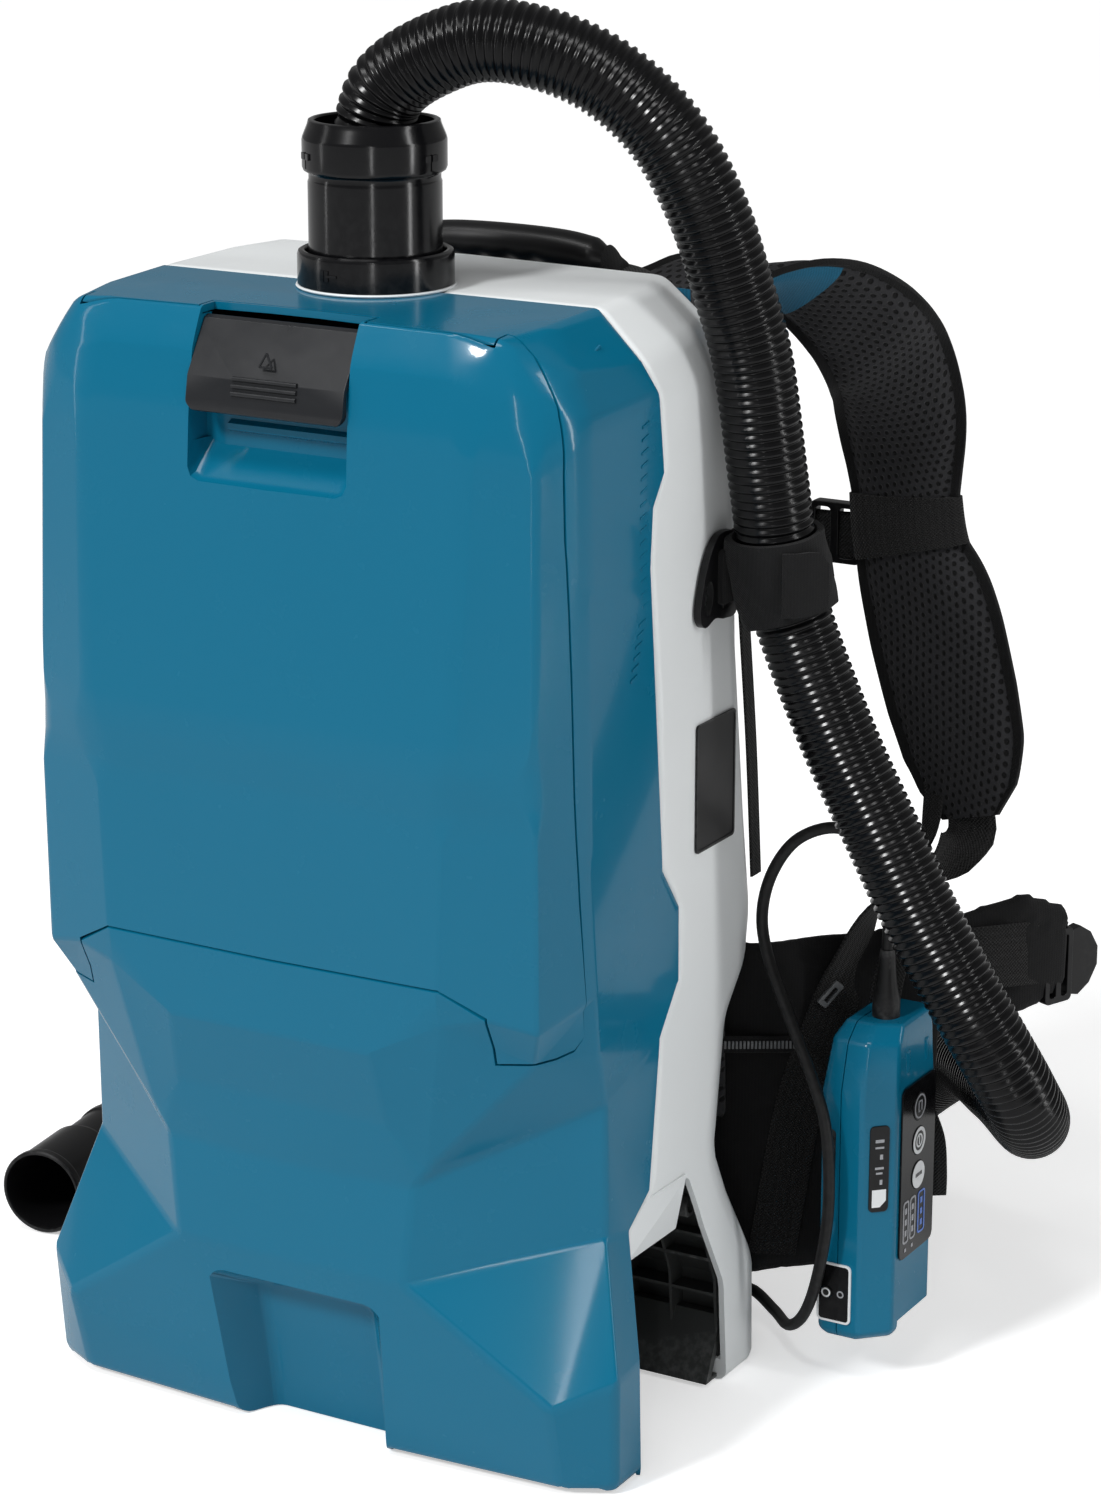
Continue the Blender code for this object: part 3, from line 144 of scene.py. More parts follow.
def box(name, x, y, z):
    return prism(name, "Z", [(x[0], y[0]), (x[1], y[0]), (x[1], y[1]), (x[0], y[1])], *z)


def circle(radius, steps, centre, start=0.0, end=360.0):
    """Points on a circle, or on an arc with both its ends."""
    full = abs(end - start) >= 360
    count = steps if full else steps + 1
    span = radians(end - start) / steps
    angles = [radians(start) + span * i for i in range(count)]
    return [(centre[0] + radius * cos(a), centre[1] + radius * sin(a)) for a in angles]


def rounded(low, high, radius, steps):
    """The outline of a rectangle with round corners."""
    x0, y0 = low[0] + radius, low[1] + radius
    x1, y1 = high[0] - radius, high[1] - radius
    outline = []
    for centre, a in (((x1, y1), 0), ((x0, y1), 90), ((x0, y0), 180), ((x1, y0), 270)):
        outline += circle(radius, steps, centre, a, a + 90)
    return outline


def rod(name, axis, centre, radius, low, high, steps):
    return prism(name, axis, circle(radius, steps, centre), low, high)


def turns(count):
    """The angles of even steps round a full turn."""
    return [2 * pi * i / count for i in range(count)]


def turned(name, axis, centre, profile, steps):
    """A ring turned round an axis: the closed profile is (radius, height) points."""
    rings = [[place(axis, centre[0] + r * cos(a), centre[1] + r * sin(a), h) for r, h in profile]
             for a in turns(steps)]
    return loft(name, rings, closed=True)


def baked(obj):
    """Applies the modifiers on an object."""
    graph = bpy.context.evaluated_depsgraph_get()
    mesh = bpy.data.meshes.new_from_object(obj.evaluated_get(graph))
    obj.modifiers.clear()
    old = obj.data
    obj.data = mesh
    bpy.data.meshes.remove(old)
    return obj


def modified(obj, kind, **settings):
    """Adds one modifier and applies it."""
    mod = obj.modifiers.new(kind.lower(), kind)
    for key, value in settings.items():
        setattr(mod, key, value)
    return baked(obj)


def triangulated(obj):
    """Splits every face into triangles, so that a bent face can't upset a Boolean."""
    with editing(obj) as work:
        bmesh.ops.triangulate(work, faces=work.faces[:], quad_method="SHORT_EDGE", ngon_method="BEAUTY")
    return obj


def boolean(obj, other, operation="DIFFERENCE"):
    modified(obj, "BOOLEAN", operation=operation, object=other, solver="EXACT")
    bpy.data.objects.remove(other)
    return obj


def cut(obj, *others):
    for other in others:
        boolean(obj, other)
    return obj


def join(obj, *others):
    for other in others:
        boolean(obj, other, "UNION")
    return obj


def bevel(obj, width, angle, segments, weights=False):
    """Rounds the edges sharper than the angle, or by their own weights."""
    return modified(obj, "BEVEL", width=width * MM, segments=segments, angle_limit=radians(angle),
                    limit_method="WEIGHT" if weights else "ANGLE", miter_outer="MITER_ARC", use_clamp_overlap=True)


def smooth_shade(obj, angle, weighted=True):
    """Smooth shading with sharp edges above the angle, and flat faces kept flat by weighted normals."""
    obj.data.shade_smooth()
    obj.data.set_sharp_from_angle(angle=radians(angle))
    return modified(obj, "WEIGHTED_NORMAL", keep_sharp=True, weight=80) if weighted else obj


def catmull(a, b, c, d, t):
    """The point at share t between b and c on a Catmull-Rom curve."""
    return 0.5 * ((2 * b) + (c - a) * t + (2 * a - 5 * b + 4 * c - d) * t**2 + (3 * b - a - 3 * c + d) * t**3)


def smooth_route(route, count):
    """Evenly spaced points on a smooth curve through the route."""
    pts = [Vector(p) for p in route]
    pts = [2 * pts[0] - pts[1]] + pts + [2 * pts[-1] - pts[-2]]
    dense = [catmull(*pts[i - 1 : i + 3], k / 24) for i in range(1, len(pts) - 2) for k in range(24)]
    dense.append(pts[-2])
    lengths = [0.0]
    for p, q in zip(dense, dense[1:]):
        lengths.append(lengths[-1] + (q - p).length)
    out, k = [], 0
    for i in range(count):
        want = lengths[-1] * i / (count - 1)
        while k < len(dense) - 2 and lengths[k + 1] < want:
            k += 1
        share = (want - lengths[k]) / max(lengths[k + 1] - lengths[k], 1e-9)
        out.append(dense[k].lerp(dense[k + 1], share))
    return out


def closed_curve(route, count):
    """A smooth loop with count points from each point of the route to the next."""
    pts, n = [Vector(p) for p in route], len(route)
    return [catmull(*(pts[(i + k - 1) % n] for k in range(4)), j / count) for i in range(n) for j in range(count)]


def route_length(points):
    return sum((q - p).length for p, q in zip(points, points[1:]))


def frames_along(points):
    """(tangent, side, up) at each point, turned as little as possible from one to the next."""
    out = []
    side = None
    for i in range(len(points)):
        t = (points[min(i + 1, len(points) - 1)] - points[max(i - 1, 0)]).normalized()
        if side is None:
            side = t.cross(Vector((0.3, 1, 0.2))).normalized()
        side = (side - t * side.dot(t)).normalized()
        out.append((t, side, t.cross(side)))
    return out


def finished(obj, material, node=None, slot=None, body="unit"):
    """Gives a piece its material and body, and hides the CAD node that it stands for. The slot argument is not used."""
    obj.data.materials.clear()
    obj.data.materials.append(material)
    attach(obj, body)
    if node:
        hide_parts(node)
    return obj


def hard(obj, material, node=None, angle=40, **rest):
    """A moulded piece, smooth up to this angle between faces."""
    return finished(smooth_shade(obj, angle), material, node, **rest)


def soft(obj, material, node=None, angle=50, **rest):
    """A fabric piece, smooth up to this angle between faces."""
    return finished(smooth_shade(obj, angle, False), material, node, **rest)


# ---- materials


class Nodes:
    """Short calls that build the node tree of one material or world."""

    def __init__(self, owner):
        owner.use_nodes = True
        self.owner, self.tree = owner, owner.node_tree
        self.shader = self.tree.nodes.get("Principled BSDF")

    def feed(self, socket, value):
        """Links an output to a socket, or sets a number or colour on the socket itself."""
        if isinstance(value, bpy.types.NodeSocket):
            self.tree.links.new(value, socket)
        elif value is not None:
            socket.default_value = (*value, 1) if isinstance(value, tuple) else value

    def add(self, kind, *inputs, **values):
        node = self.tree.nodes.new(kind)
        for key, value in values.items():
            if hasattr(node, key):
                setattr(node, key, value)
            else:
                self.feed(node.inputs[key], value)
        for socket, value in zip(node.inputs, inputs):
            self.feed(socket, value)
        return node

    def math(self, operation, a, b=None):
        return self.add("ShaderNodeMath", a, b, operation=operation).outputs[0]

    def coords(self, kind="Object"):
        return self.add("ShaderNodeTexCoord").outputs[kind]

    def noise(self, vector, scale, detail, rough=0.55):
        return self.add("ShaderNodeTexNoise", Vector=vector, Scale=scale, Detail=detail, Roughness=rough).outputs["Fac"]

    def ramp(self, value, low, high, to_low=0.0, to_high=1.0):
        return self.add("ShaderNodeMapRange", value, low, high, to_low, to_high).outputs[0]

    def mix(self, factor, a, b):
        node = self.add("ShaderNodeMix", factor, data_type="RGBA")
        self.feed(node.inputs[6], a)
        self.feed(node.inputs[7], b)
        return node.outputs[2]

    def bump(self, height, strength, distance):
        return self.add("ShaderNodeBump", Height=height, Strength=strength, Distance=distance).outputs["Normal"]

    def settle(self, colour, rough, normal=None, **fixed):
        """Feeds the shader's inputs and gives the finished material."""
        for key, value in {"Base_Color": colour, "Roughness": rough, "Normal": normal, **fixed}.items():
            self.feed(self.shader.inputs[key.replace("_", " ")], value)
        return self.owner


def shade(colour, k):
    """A colour made k times as light."""
    return tuple(min(c * k, 1.0) for c in colour)


def plastic(name, colour, rough, grain, pitch, spec, coat=0.0, worn=0.25, mottle=0.05, metallic=0.0):
    """Moulded plastic or metal: fine grain, slow colour and gloss drift, edges rubbed lighter."""
    n = Nodes(bpy.data.materials.new(name))
    at = n.coords()
    drift = n.noise(at, 9, 2)
    base = n.mix(drift, shade(colour, 1 - mottle), shade(colour, 1 + mottle))
    edge = n.ramp(n.add("ShaderNodeNewGeometry").outputs["Pointiness"], 0.52, 0.60)
    scuff = n.math("MULTIPLY", edge, n.ramp(n.noise(at, 260, 4), 0.42, 0.66))
    light = tuple(c + (0.55 - c) * 0.35 for c in colour)
    base = n.mix(n.math("MULTIPLY", scuff, worn), base, light)
    fine = n.noise(at, pitch, 3)
    smear = n.noise(at, 34, 4, 0.6)
    gloss = n.ramp(smear, 0.25, 0.75, rough - 0.045, rough + 0.06)
    normal = n.bump(fine, grain, 0.00025)
    return n.settle(base, gloss, normal, Specular_IOR_Level=spec, Coat_Weight=coat, Coat_Roughness=0.07,
                    Metallic=metallic)


def woven(name, colour, pitch, rough, sheen, bump, light=2.2, uv=False):
    """Tight webbing or cloth: warp and weft threads at a real pitch in millimetres."""
    n = Nodes(bpy.data.materials.new(name))
    x, y, z = n.add("ShaderNodeSeparateXYZ", n.coords("UV" if uv else "Object")).outputs
    k = 2 * pi / (pitch if uv else pitch * MM)
    across, along = (x, y) if uv else (n.math("ADD", x, y), z)
    u = n.math("SINE", n.math("MULTIPLY", across, k))
    v = n.math("SINE", n.math("MULTIPLY", along, k))
    half = n.math("SINE", n.math("MULTIPLY", across, k / 2))
    thread = n.math("ADD", n.math("MULTIPLY", u, v), n.math("MULTIPLY", half, 0.35))
    at = n.coords()
    fuzz = n.noise(at, 900, 3)
    height = n.math("ADD", thread, n.math("MULTIPLY", fuzz, 0.8))
    # painted highlight and painted shade: colour follows thread height, the crowns lighter and the gaps between threads
    # darker; the fuzz adds random tone
    tone = n.ramp(height, -0.6, 1.7)
    base = n.mix(tone, shade(colour, 0.55), shade(colour, light))
    base = n.mix(n.ramp(n.noise(at, 14, 3), 0.3, 0.7, 0, 0.35), base, shade(colour, 1.5))
    normal = n.bump(height, bump, 0.0005)
    return n.settle(base, rough, normal, Specular_IOR_Level=0.25, Sheen_Weight=sheen, Sheen_Roughness=0.45)


def spacer(name, pitch, uv):
    """Air mesh: a staggered lattice of holes, the holes painted near black as the shade inside them, laid along the
    strap.
    """
    n, colour = Nodes(bpy.data.materials.new(name)), (0.0055, 0.0055, 0.006)
    x, y, z = n.add("ShaderNodeSeparateXYZ", n.coords("UV" if uv else "Object")).outputs
    along = y if uv else z
    k = 2 * pi / (pitch if uv else pitch * MM)
    waves = None
    for angle in (18, 78, 138):
        a = radians(angle)
        dot = n.math("ADD", n.math("MULTIPLY", x, k * cos(a) * 1.25), n.math("MULTIPLY", along, k * sin(a)))
        wave = n.math("COSINE", dot)
        waves = wave if waves is None else n.math("ADD", waves, wave)
    at = n.coords()
    fuzz = n.noise(at, 1300, 3)
    hole = n.ramp(waves, 0.2, 1.6)
    height = n.math("SUBTRACT", n.math("MULTIPLY", fuzz, 0.25), hole)
    # the lattice of holes is the fabric's own; painted shade makes the holes near black and the lattice lighter
    base = n.mix(hole, shade(colour, 4.6), shade(colour, 0.1))
    base = n.mix(n.ramp(fuzz, 0.35, 0.75, 0, 0.4), base, colour)
    normal = n.bump(height, 0.9, 0.0011)
    return n.settle(base, 0.75, normal, Specular_IOR_Level=0.2, Sheen_Weight=0.06, Sheen_Roughness=0.4)


TEAL_RGB = (0.002, 0.128, 0.226)
WHITE_RGB = (0.75, 0.775, 0.78)

TEAL = plastic("teal_gloss", TEAL_RGB, 0.24, 0.012, 700, 0.12, 0.3, 0.0, 0.02)
WHITE = plastic("white_shell", WHITE_RGB, 0.34, 0.03, 1100, 0.3, 0.0, 0.0, 0.02)
BLACK_GLOSS = plastic("black_gloss", (0.003, 0.003, 0.0036), 0.16, 0.008, 900, 0.3, 0.0, 0.03, 0.02)
BLACK_SATIN = plastic("black_satin", (0.005, 0.005, 0.0055), 0.33, 0.10, 1500, 0.25, 0.0, 0.15)
GREY_SATIN = plastic("latch_grey", (0.013, 0.014, 0.016), 0.3, 0.06, 1600, 0.3, 0.0, 0.04)
DARK_RIB = plastic("bay_grey", (0.036, 0.038, 0.037), 0.45, 0.25, 1300, 0.3, 0.0, 0.35)
HOSE_MAT = plastic("hose_plastic", (0.003, 0.003, 0.0034), 0.2, 0.02, 1200, 0.2, 0.0, 0.0)
RUBBER = plastic("cable_rubber", (0.006, 0.006, 0.0063), 0.42, 0.2, 2400, 0.22, 0.0, 0.2)
INNER_GREY = plastic("inner_grey", (0.10, 0.105, 0.11), 0.5, 0.2, 1300, 0.35)
DARK_MOULD = plastic("dark_mould", (0.022, 0.023, 0.025), 0.48, 0.25, 1300, 0.3)
STEEL = plastic("steel", (0.55, 0.55, 0.56), 0.28, 0.05, 2000, 0.5, 0.0, 0.1, 0.03, 1.0)
BOARD = plastic("circuit_board", (0.01, 0.12, 0.035), 0.4, 0.2, 1800, 0.4)
ICON_WHITE = plastic("print_white", (0.72, 0.74, 0.75), 0.45, 0.05, 2000, 0.3, 0.0, 0.0, 0.02)
ICON_GREY = plastic("print_grey", (0.33, 0.34, 0.36), 0.45, 0.05, 2000, 0.3, 0.0, 0.0, 0.02)
ICON_BLUE = plastic("print_blue", (0.12, 0.22, 0.60), 0.45, 0.05, 2000, 0.3, 0.0, 0.0, 0.02)
SCREW_MAT = plastic("boss_screw", (0.42, 0.36, 0.26), 0.4, 0.1, 2000, 0.4, 0.0, 0.2, 0.03)
FABRIC_RGB = (0.0042, 0.0042, 0.0045)
CLOTH = woven("harness_cloth", FABRIC_RGB, 1.1, 0.9, 0.05, 0.45)
WEBBING = woven("webbing", (0.007, 0.007, 0.007), 2.0, 0.85, 0.06, 0.8, 2.4, True)
MESH_CLOTH = spacer("air_mesh", 4.6, True)
PAD_MESH = spacer("pad_mesh", 5.2, False)
TEAL_CLOTH = woven("teal_cloth", (0.006, 0.105, 0.19), 1.0, 0.8, 0.08, 0.4, 1.5)
PAPER = woven("bag_paper", (0.52, 0.50, 0.45), 0.9, 0.9, 0.05, 0.25, 1.15)
PLEAT = woven("filter_paper", (0.66, 0.66, 0.62), 0.8, 0.9, 0.0, 0.3, 1.1)
THREAD = woven("seam_thread", (0.022, 0.022, 0.023), 0.6, 0.8, 0.0, 0.4, 1.6)


# ---- stage, lights and camera


def make_camera():
    data = bpy.data.cameras.new("camera")
    data.lens = LENS
    data.sensor_width = 36
    data.clip_end = 100
    camera = placed("camera", data)
    az, el = radians(CAMERA_AZ), radians(CAMERA_EL)
    back = Vector((sin(az) * cos(el), -cos(az) * cos(el), sin(el)))
    camera.location = CAMERA_AT
    camera.rotation_euler = back.to_track_quat("Z", "Y").to_euler()
    SCENE.camera = camera


WORLD_LIGHT = 0.21
GLOSSY_SEES = 0.04  # share of the white background that glossy rays see: more turns dark plastic milky
FLOOR_GLOW = 0.48


def seen_ray(n):
    """1 on camera and transmission rays, which see the pale background as it is; glossy rays see part of it."""
    path = n.add("ShaderNodeLightPath").outputs
    glossy = n.math("MULTIPLY", path["Is Glossy Ray"], GLOSSY_SEES)
    return n.math("MAXIMUM", n.math("MAXIMUM", path["Is Camera Ray"], glossy), path["Is Transmission Ray"])


def make_world():
    SCENE.world = bpy.data.worlds.new("studio")
    n = Nodes(SCENE.world)
    n.tree.nodes.clear()
    lit, seen = (n.add("ShaderNodeBackground", (1, 1, 1), strength).outputs[0] for strength in (WORLD_LIGHT, 1.0))
    pick = n.add("ShaderNodeMixShader", seen_ray(n), lit, seen)
    n.add("ShaderNodeOutputWorld", pick.outputs[0])
    SCENE.view_settings.view_transform = "Standard"


def make_floor():
    floor = mesh_object("floor", [(-20, -20, 0), (20, -20, 0), (20, 20, 0), (-20, 20, 0)], [(0, 1, 2, 3)], 1)
    floor.location.z = -0.0006
    n = Nodes(bpy.data.materials.new("floor"))
    tone = n.ramp(n.noise(n.coords(), 1.4, 2), 0.2, 0.8)
    n.settle(n.mix(tone, (0.86, 0.865, 0.87), (0.89, 0.89, 0.89)), 0.9, Specular_IOR_Level=0.1)
    lit = n.shader.outputs[0]
    glow = n.add("ShaderNodeEmission", Strength=FLOOR_GLOW)
    total = n.add("ShaderNodeAddShader", lit, glow.outputs[0])
    pick = n.add("ShaderNodeMixShader", seen_ray(n), lit, total.outputs[0])
    n.feed(n.tree.nodes["Material Output"].inputs["Surface"], pick.outputs[0])
    floor.data.materials.append(n.owner)


def make_lamp(name, kind, at, towards, energy, size, size_y=0.0):
    """An area lamp size by size_y metres, or a sun of an angle of size degrees."""
    data = bpy.data.lights.new(name, kind)
    data.energy = energy
    if kind == "AREA":
        data.shape, data.size, data.size_y = "RECTANGLE", size, size_y
    else:
        data.angle = radians(size)
    lamp = placed(name, data)
    lamp.location = at
    lamp.rotation_euler = (Vector(at) - Vector(towards)).to_track_quat("Z", "Y").to_euler()


def make_lamps():
    make_lamp("sun", "SUN", (-0.55, -1.7, 1.65), (0, 0, 0.2), 2.05, 10)
    make_lamp("top", "AREA", (-0.15, -0.7, 2.0), (0, -0.05, 0.45), 13, 1.7, 0.25)
    make_lamp("right", "AREA", (1.9, 0.1, 1.0), (0.1, 0, 0.35), 13, 0.16, 1.8)
    make_lamp("left", "AREA", (-1.9, -1.1, 1.0), (0, 0, 0.3), 3, 0.1, 1.7)
    make_lamp("front", "AREA", (1.05, -2.05, 0.62), (0, 0, 0.3), 3.5, 0.06, 1.1)


# ---- hose, cuff and cable

RIB = 3.9  # pitch
RIB_DEPTH = 1.5
RIB_DRIFT = 0.12  # the ribs lie a little further apart towards the inlet
FINE = 2400


def tube_mesh(name, points, radii, steps):
    return loft(name, [[p + side * (r * cos(a)) + up * (r * sin(a)) for a in turns(steps)]
                       for p, (_, side, up), r in zip(points, frames_along(points), radii)])


def make_hose():
    """Ribbed hose along its route, with the cuff at its far end."""
    length = route_length(smooth_route(HOSE_ROUTE, 400))
    ribs = round(length / RIB)
    shares, radii = [], []
    for i in range(ribs):
        for at, deep in ((0.0, RIB_DEPTH), (0.22, 0.0), (0.5, 0.0), (0.72, RIB_DEPTH)):
            run = (i + at) / ribs
            shares.append(run + RIB_DRIFT * run * (1 - run))
            radii.append(HOSE_D / 2 - deep)
    shares.append(1.0)
    radii.append(HOSE_D / 2 - 2.1)
    fine = smooth_route(HOSE_ROUTE, FINE + 1)
    points = []
    for share in shares:
        k = min(int(share * FINE), FINE - 1)
        points.append(fine[k].lerp(fine[k + 1], share * FINE - k))
    hose = tube_mesh("vacuum_hose_ribbed", points, radii, 40)
    hose.data.shade_smooth()
    finished(hose, HOSE_MAT, "vacuum_hose")
    path = [tuple(p * MM) for p in smooth_route(HOSE_ROUTE, 160)]
    make_cuff()


def make_cuff():
    """Turned cuff at the hose's end; the profile is (distance along, radius) points."""
    ax, ay = CUFF_AXIS
    sx, sy = CUFF_START
    neck, body, mouth = HOSE_D / 2 + 1.4, CUFF_R - 1.4, CUFF_R - 2.4
    profile = [(0, neck - 1), (1, neck), (14, neck), (15, neck + 1), (20, neck + 1), (21, neck), (48, neck),
               (50, neck + 0.4), (54, body), (93, body + 0.3), (94.5, CUFF_R - 0.3), (96, CUFF_R),
               (CUFF_LEN - 0.8, CUFF_R), (CUFF_LEN, CUFF_R - 0.8), (CUFF_LEN, mouth + 0.5),
               (CUFF_LEN - 0.6, mouth), (94, mouth - 1), (58, mouth - 1.6), (50, neck - 2.4),
               (10, neck - 2.9), (6, neck - 5.4), (0, neck - 5.4)]
    rings = [[(sx + ax * along - ay * r * cos(a), sy + ay * along + ax * r * cos(a), CUFF_Z + r * sin(a))
              for along, r in profile] for a in turns(56)]
    return hard(loft("hose_cuff_turned", rings, closed=True), BLACK_SATIN, "hose_cuff", 32)


def make_cable():
    points = smooth_route(CABLE_ROUTE, 160)
    cable = tube_mesh("control_cable_round", points, [CABLE_D / 2] * 160, 16)
    cable.data.shade_smooth()
    finished(cable, RUBBER, "control_cable")
    reliefs = [
        make_relief("shell", "Y", GLAND_AT, 98.0, 120.2, 6.0, [(6.0, 109), (5.8, 110)]),
        make_relief("box", "Z", BOX_TOP_AT, 198.3, 208.0, 6.5, [(6.5, 200.7), (5.4, 201.3)]),
    ]


def make_relief(end, axis, centre, low, high, flange, neck):
    """Tapered strain relief with grooves, over the CAD gland at this end of the cable."""
    profile = [(0.7, low), (flange, low)] + neck
    start, steps = neck[-1][1], 5
    pitch = (high - start) / steps
    for k in range(steps):
        h = start + pitch * (k + 0.15)
        r = 5.2 - (k + 0.5) / steps
        profile += [(r, h), (r, h + pitch * 0.5), (r - 0.6, h + pitch * 0.6), (r - 0.6, h + pitch * 0.8)]
    profile += [(4.0, high), (0.7, high)]
    return hard(turned(f"cable_relief_{end}", axis, centre, profile, 32), RUBBER, f"cable_gland_{end}")


# ---- teal cover and door

# Right half of the cover's surface; each face is a flat of the moulding.
COVER = {
    "a0": (0, -97, 561.5), "b0": (96, -96.5, 560.5), "c0": (115.5, -94, 558.5), "d0": (121, -60, 560.5),
    "e0": (121.5, -17.5, 562),
    "a1": (0, -105.5, 545), "b1": (103, -104.5, 543), "c1": (127, -97, 541), "d1": (138, -76, 543),
    "e1": (142, -14.5, 539.5),
    "a2": (0, -109.5, 516), "b2": (107, -108.5, 514), "c2": (135, -99, 509), "d2": (148, -80, 522),
    "e2": (149.5, -10.4, 524.3),
    "e25": (150, -6, 487), "e26": (150, -17, 472), "e27": (150, -19, 446),
    "a3": (0, -120, 366), "b3": (102, -118.5, 366), "c3": (137, -104, 372), "d3": (147.5, -76, 440),
    "a4": (0, -117.8, 340), "b4": (96, -117, 338), "c4": (138, -104, 345), "d4": (148, -73, 310),
    "e4": (150, -4.5, 294),
    "a5": (0, -117.6, 258), "b5": (93, -116.8, 257.6), "s5": (116, -109.5, 245), "c5": (138, -102.5, 240),
    "d5": (149, -68, 250), "e5": (150, 12, 272),
    "a6": (0, -119.5, 221.5), "b6": (56.3, -119, 221.3), "p6": (93, -114.5, 240), "q6": (131, -93, 221),
    "d6": (149, -65, 222), "e6": (150, 12.5, 234),
    "a7": (0, -110, 185), "b7": (60, -109.5, 184), "k7": (78, -102, 162), "w7": (147.5, -55, 192),
    "e7": (150, -6, 210),
    "a8": (0, -105.5, 150), "b8": (70, -103, 151.5), "e8": (149, -13.7, 134),
    "a9": (0, -104.8, 100), "b9": (64.6, -104.9, 100.8), "t9": (147.5, -54, 124), "e9": (151, -38, 122),
    "b10": (140, -94.5, 49.2), "o10": (165, -74, 60.5), "e10": (163.5, -49, 61),
    "b11": (139, -82, 0), "o11": (163, -70, 0), "e11": (163, -46, 0),
    "a12": (0, -89, 0),
}
COVER_FACES = [
    "a0 b0 b1 a1", "b0 c0 c1 b1", "c0 d0 d1 c1", "d0 e0 e1 d1", "a1 b1 b2 a2", "b1 c1 c2 b2",
    "c1 d1 d2 c2", "d1 e1 e2 d2", "a2 b2 b3 a3", "b2 c2 c3 b3", "c2 d2 d3 c3", "d2 e2 e25 e26 e27 d3",
    "a3 b3 b4 a4", "b3 c3 c4 b4", "c3 d3 d4 c4", "d3 e27 e4 d4", "a4 b4 b5 a5", "b4 c4 c5 s5 b5",
    "c4 d4 d5 c5", "d4 e4 e5 d5", "a5 b5 p6 b6 a6", "b5 s5 p6", "s5 c5 q6 k7 p6", "c5 d5 d6 q6",
    "d5 e5 e6 d6", "a6 b6 b7 a7", "b6 p6 k7 b7", "k7 q6 d6 w7 b8", "d6 e6 e7 w7", "a7 b7 k7 b8 a8",
    "a8 b8 b9 a9", "b8 w7 t9 b9", "w7 e7 e8 e9 t9", "b9 t9 o10 b10", "t9 e9 e10 o10",
    "a9 b9 b10 b11 a12", "b10 o10 o11 b11", "o10 e10 e11 o11",
]
REAR_EDGE = ["e0", "e1", "e2", "e25", "e26", "e27", "e4", "e5", "e6", "e7", "e8", "e9", "e10", "e11"]
TOP_EDGE = ["a0", "b0", "c0", "d0", "e0"]
LOW_EDGE = ["a12", "b11", "o11", "e11"]
SOFT_ROWS = {"0", "1", "2", "3", "4"}  # the door's upper folds are rounder than the crisp ones below
COVER_ROUND = 9.0  # the bevel of a fold of full weight
DOOR_GAP = 0.55  # from the joint's middle to each of its sides


def cover_solid(name, inset=0.0):
    """The cover as a folded block closed behind; an inset makes the smaller block that hollows it."""
    points, index = [], {}
    for key, (x, y, z) in COVER.items():
        for side in (1, -1) if x else (1,):
            index[key, side] = len(points)
            points.append((side * x, y, z))
        index.setdefault((key, -1), index[key, 1])
    faces = [[index[n, side] for n in face.split()[::side]] for face in COVER_FACES for side in (1, -1)]
    for edge in (TOP_EDGE, LOW_EDGE):
        faces.append([index[n, 1] for n in edge] + [index[n, -1] for n in edge[::-1][:-1]])
    for p, q in zip(REAR_EDGE, REAR_EDGE[1:]):
        faces.append([index[p, 1], index[q, 1], index[q, -1], index[p, -1]])
    obj = mesh_object(name, points, faces)
    if not inset:
        weigh_edges(obj, index)
        return triangulated(bevel(triangulated(obj), COVER_ROUND, 30, 4, weights=True))
    rear, low = ({index[k, s] for k in edge for s in (1, -1)} for edge in (REAR_EDGE, LOW_EDGE))
    with editing(obj) as work:
        work.normal_update()
        moved = []
        for v in work.verts:
            if v.index in rear:
                side = 1 if v.co.x > 0 else -1
                shift = Vector((-side * inset, inset * 5, -inset if v.co.z > 0.55 else 0))
            else:
                mean = sum((f.normal * f.calc_area() for f in v.link_faces
                            if abs(f.normal.z) < 0.95 or v.co.z > 0.3), Vector()).normalized()
                shift = -mean * inset * 1.12
            if v.index in low:
                shift.z = -12
            moved.append(v.co + shift * MM)
        for v, co in zip(work.verts, moved):
            v.co = co
    return triangulated(obj)


def weigh_edges(obj, index):
    """How round each fold of the cover is, as a share of the full bevel."""
    names = {i: key for (key, _), i in index.items()}
    layer = obj.data.attributes.new("bevel_weight_edge", "FLOAT", "EDGE")
    for edge in obj.data.edges:
        a, b = (names[v] for v in edge.vertices)
        columns, rows = {a[0], b[0]}, {a[1:], b[1:]}
        weight = 0.28
        if a in REAR_EDGE and b in REAR_EDGE:
            weight = 0.1
        elif rows == {"0"}:
            weight = 0.3
        elif rows <= SOFT_ROWS:
            weight = 1.0
        elif rows <= {"11", "12"} or columns <= {"o", "b"} and "11" in rows:
            weight = 0.75
        if columns == {"a"}:
            weight = 0.0
        if rows <= {"5", "6"}:
            weight = min(weight, 0.18)
        layer.data[edge.index].value = weight


def seam_line(gap):
    """Joint between door and side band, as (Y, Z) from the top down."""
    line = [(-84, 600), (-84, 560), (-87, 526), (-87, 500), (-85, 460), (-84, 420), (-81.5, 350), (-78.5, 300),
            (-73, HINGE_Z)]
    return [(y + gap, z) for y, z in line]


SILL_R = 31.0  # radius of the sill round the hinge, along its flat middle
SLANT_R = 17.2  # and at the ends of its slanted parts
FLAT_HALF = 93.0
SLANT_HALF = 114.5
EAR_R = 11.0


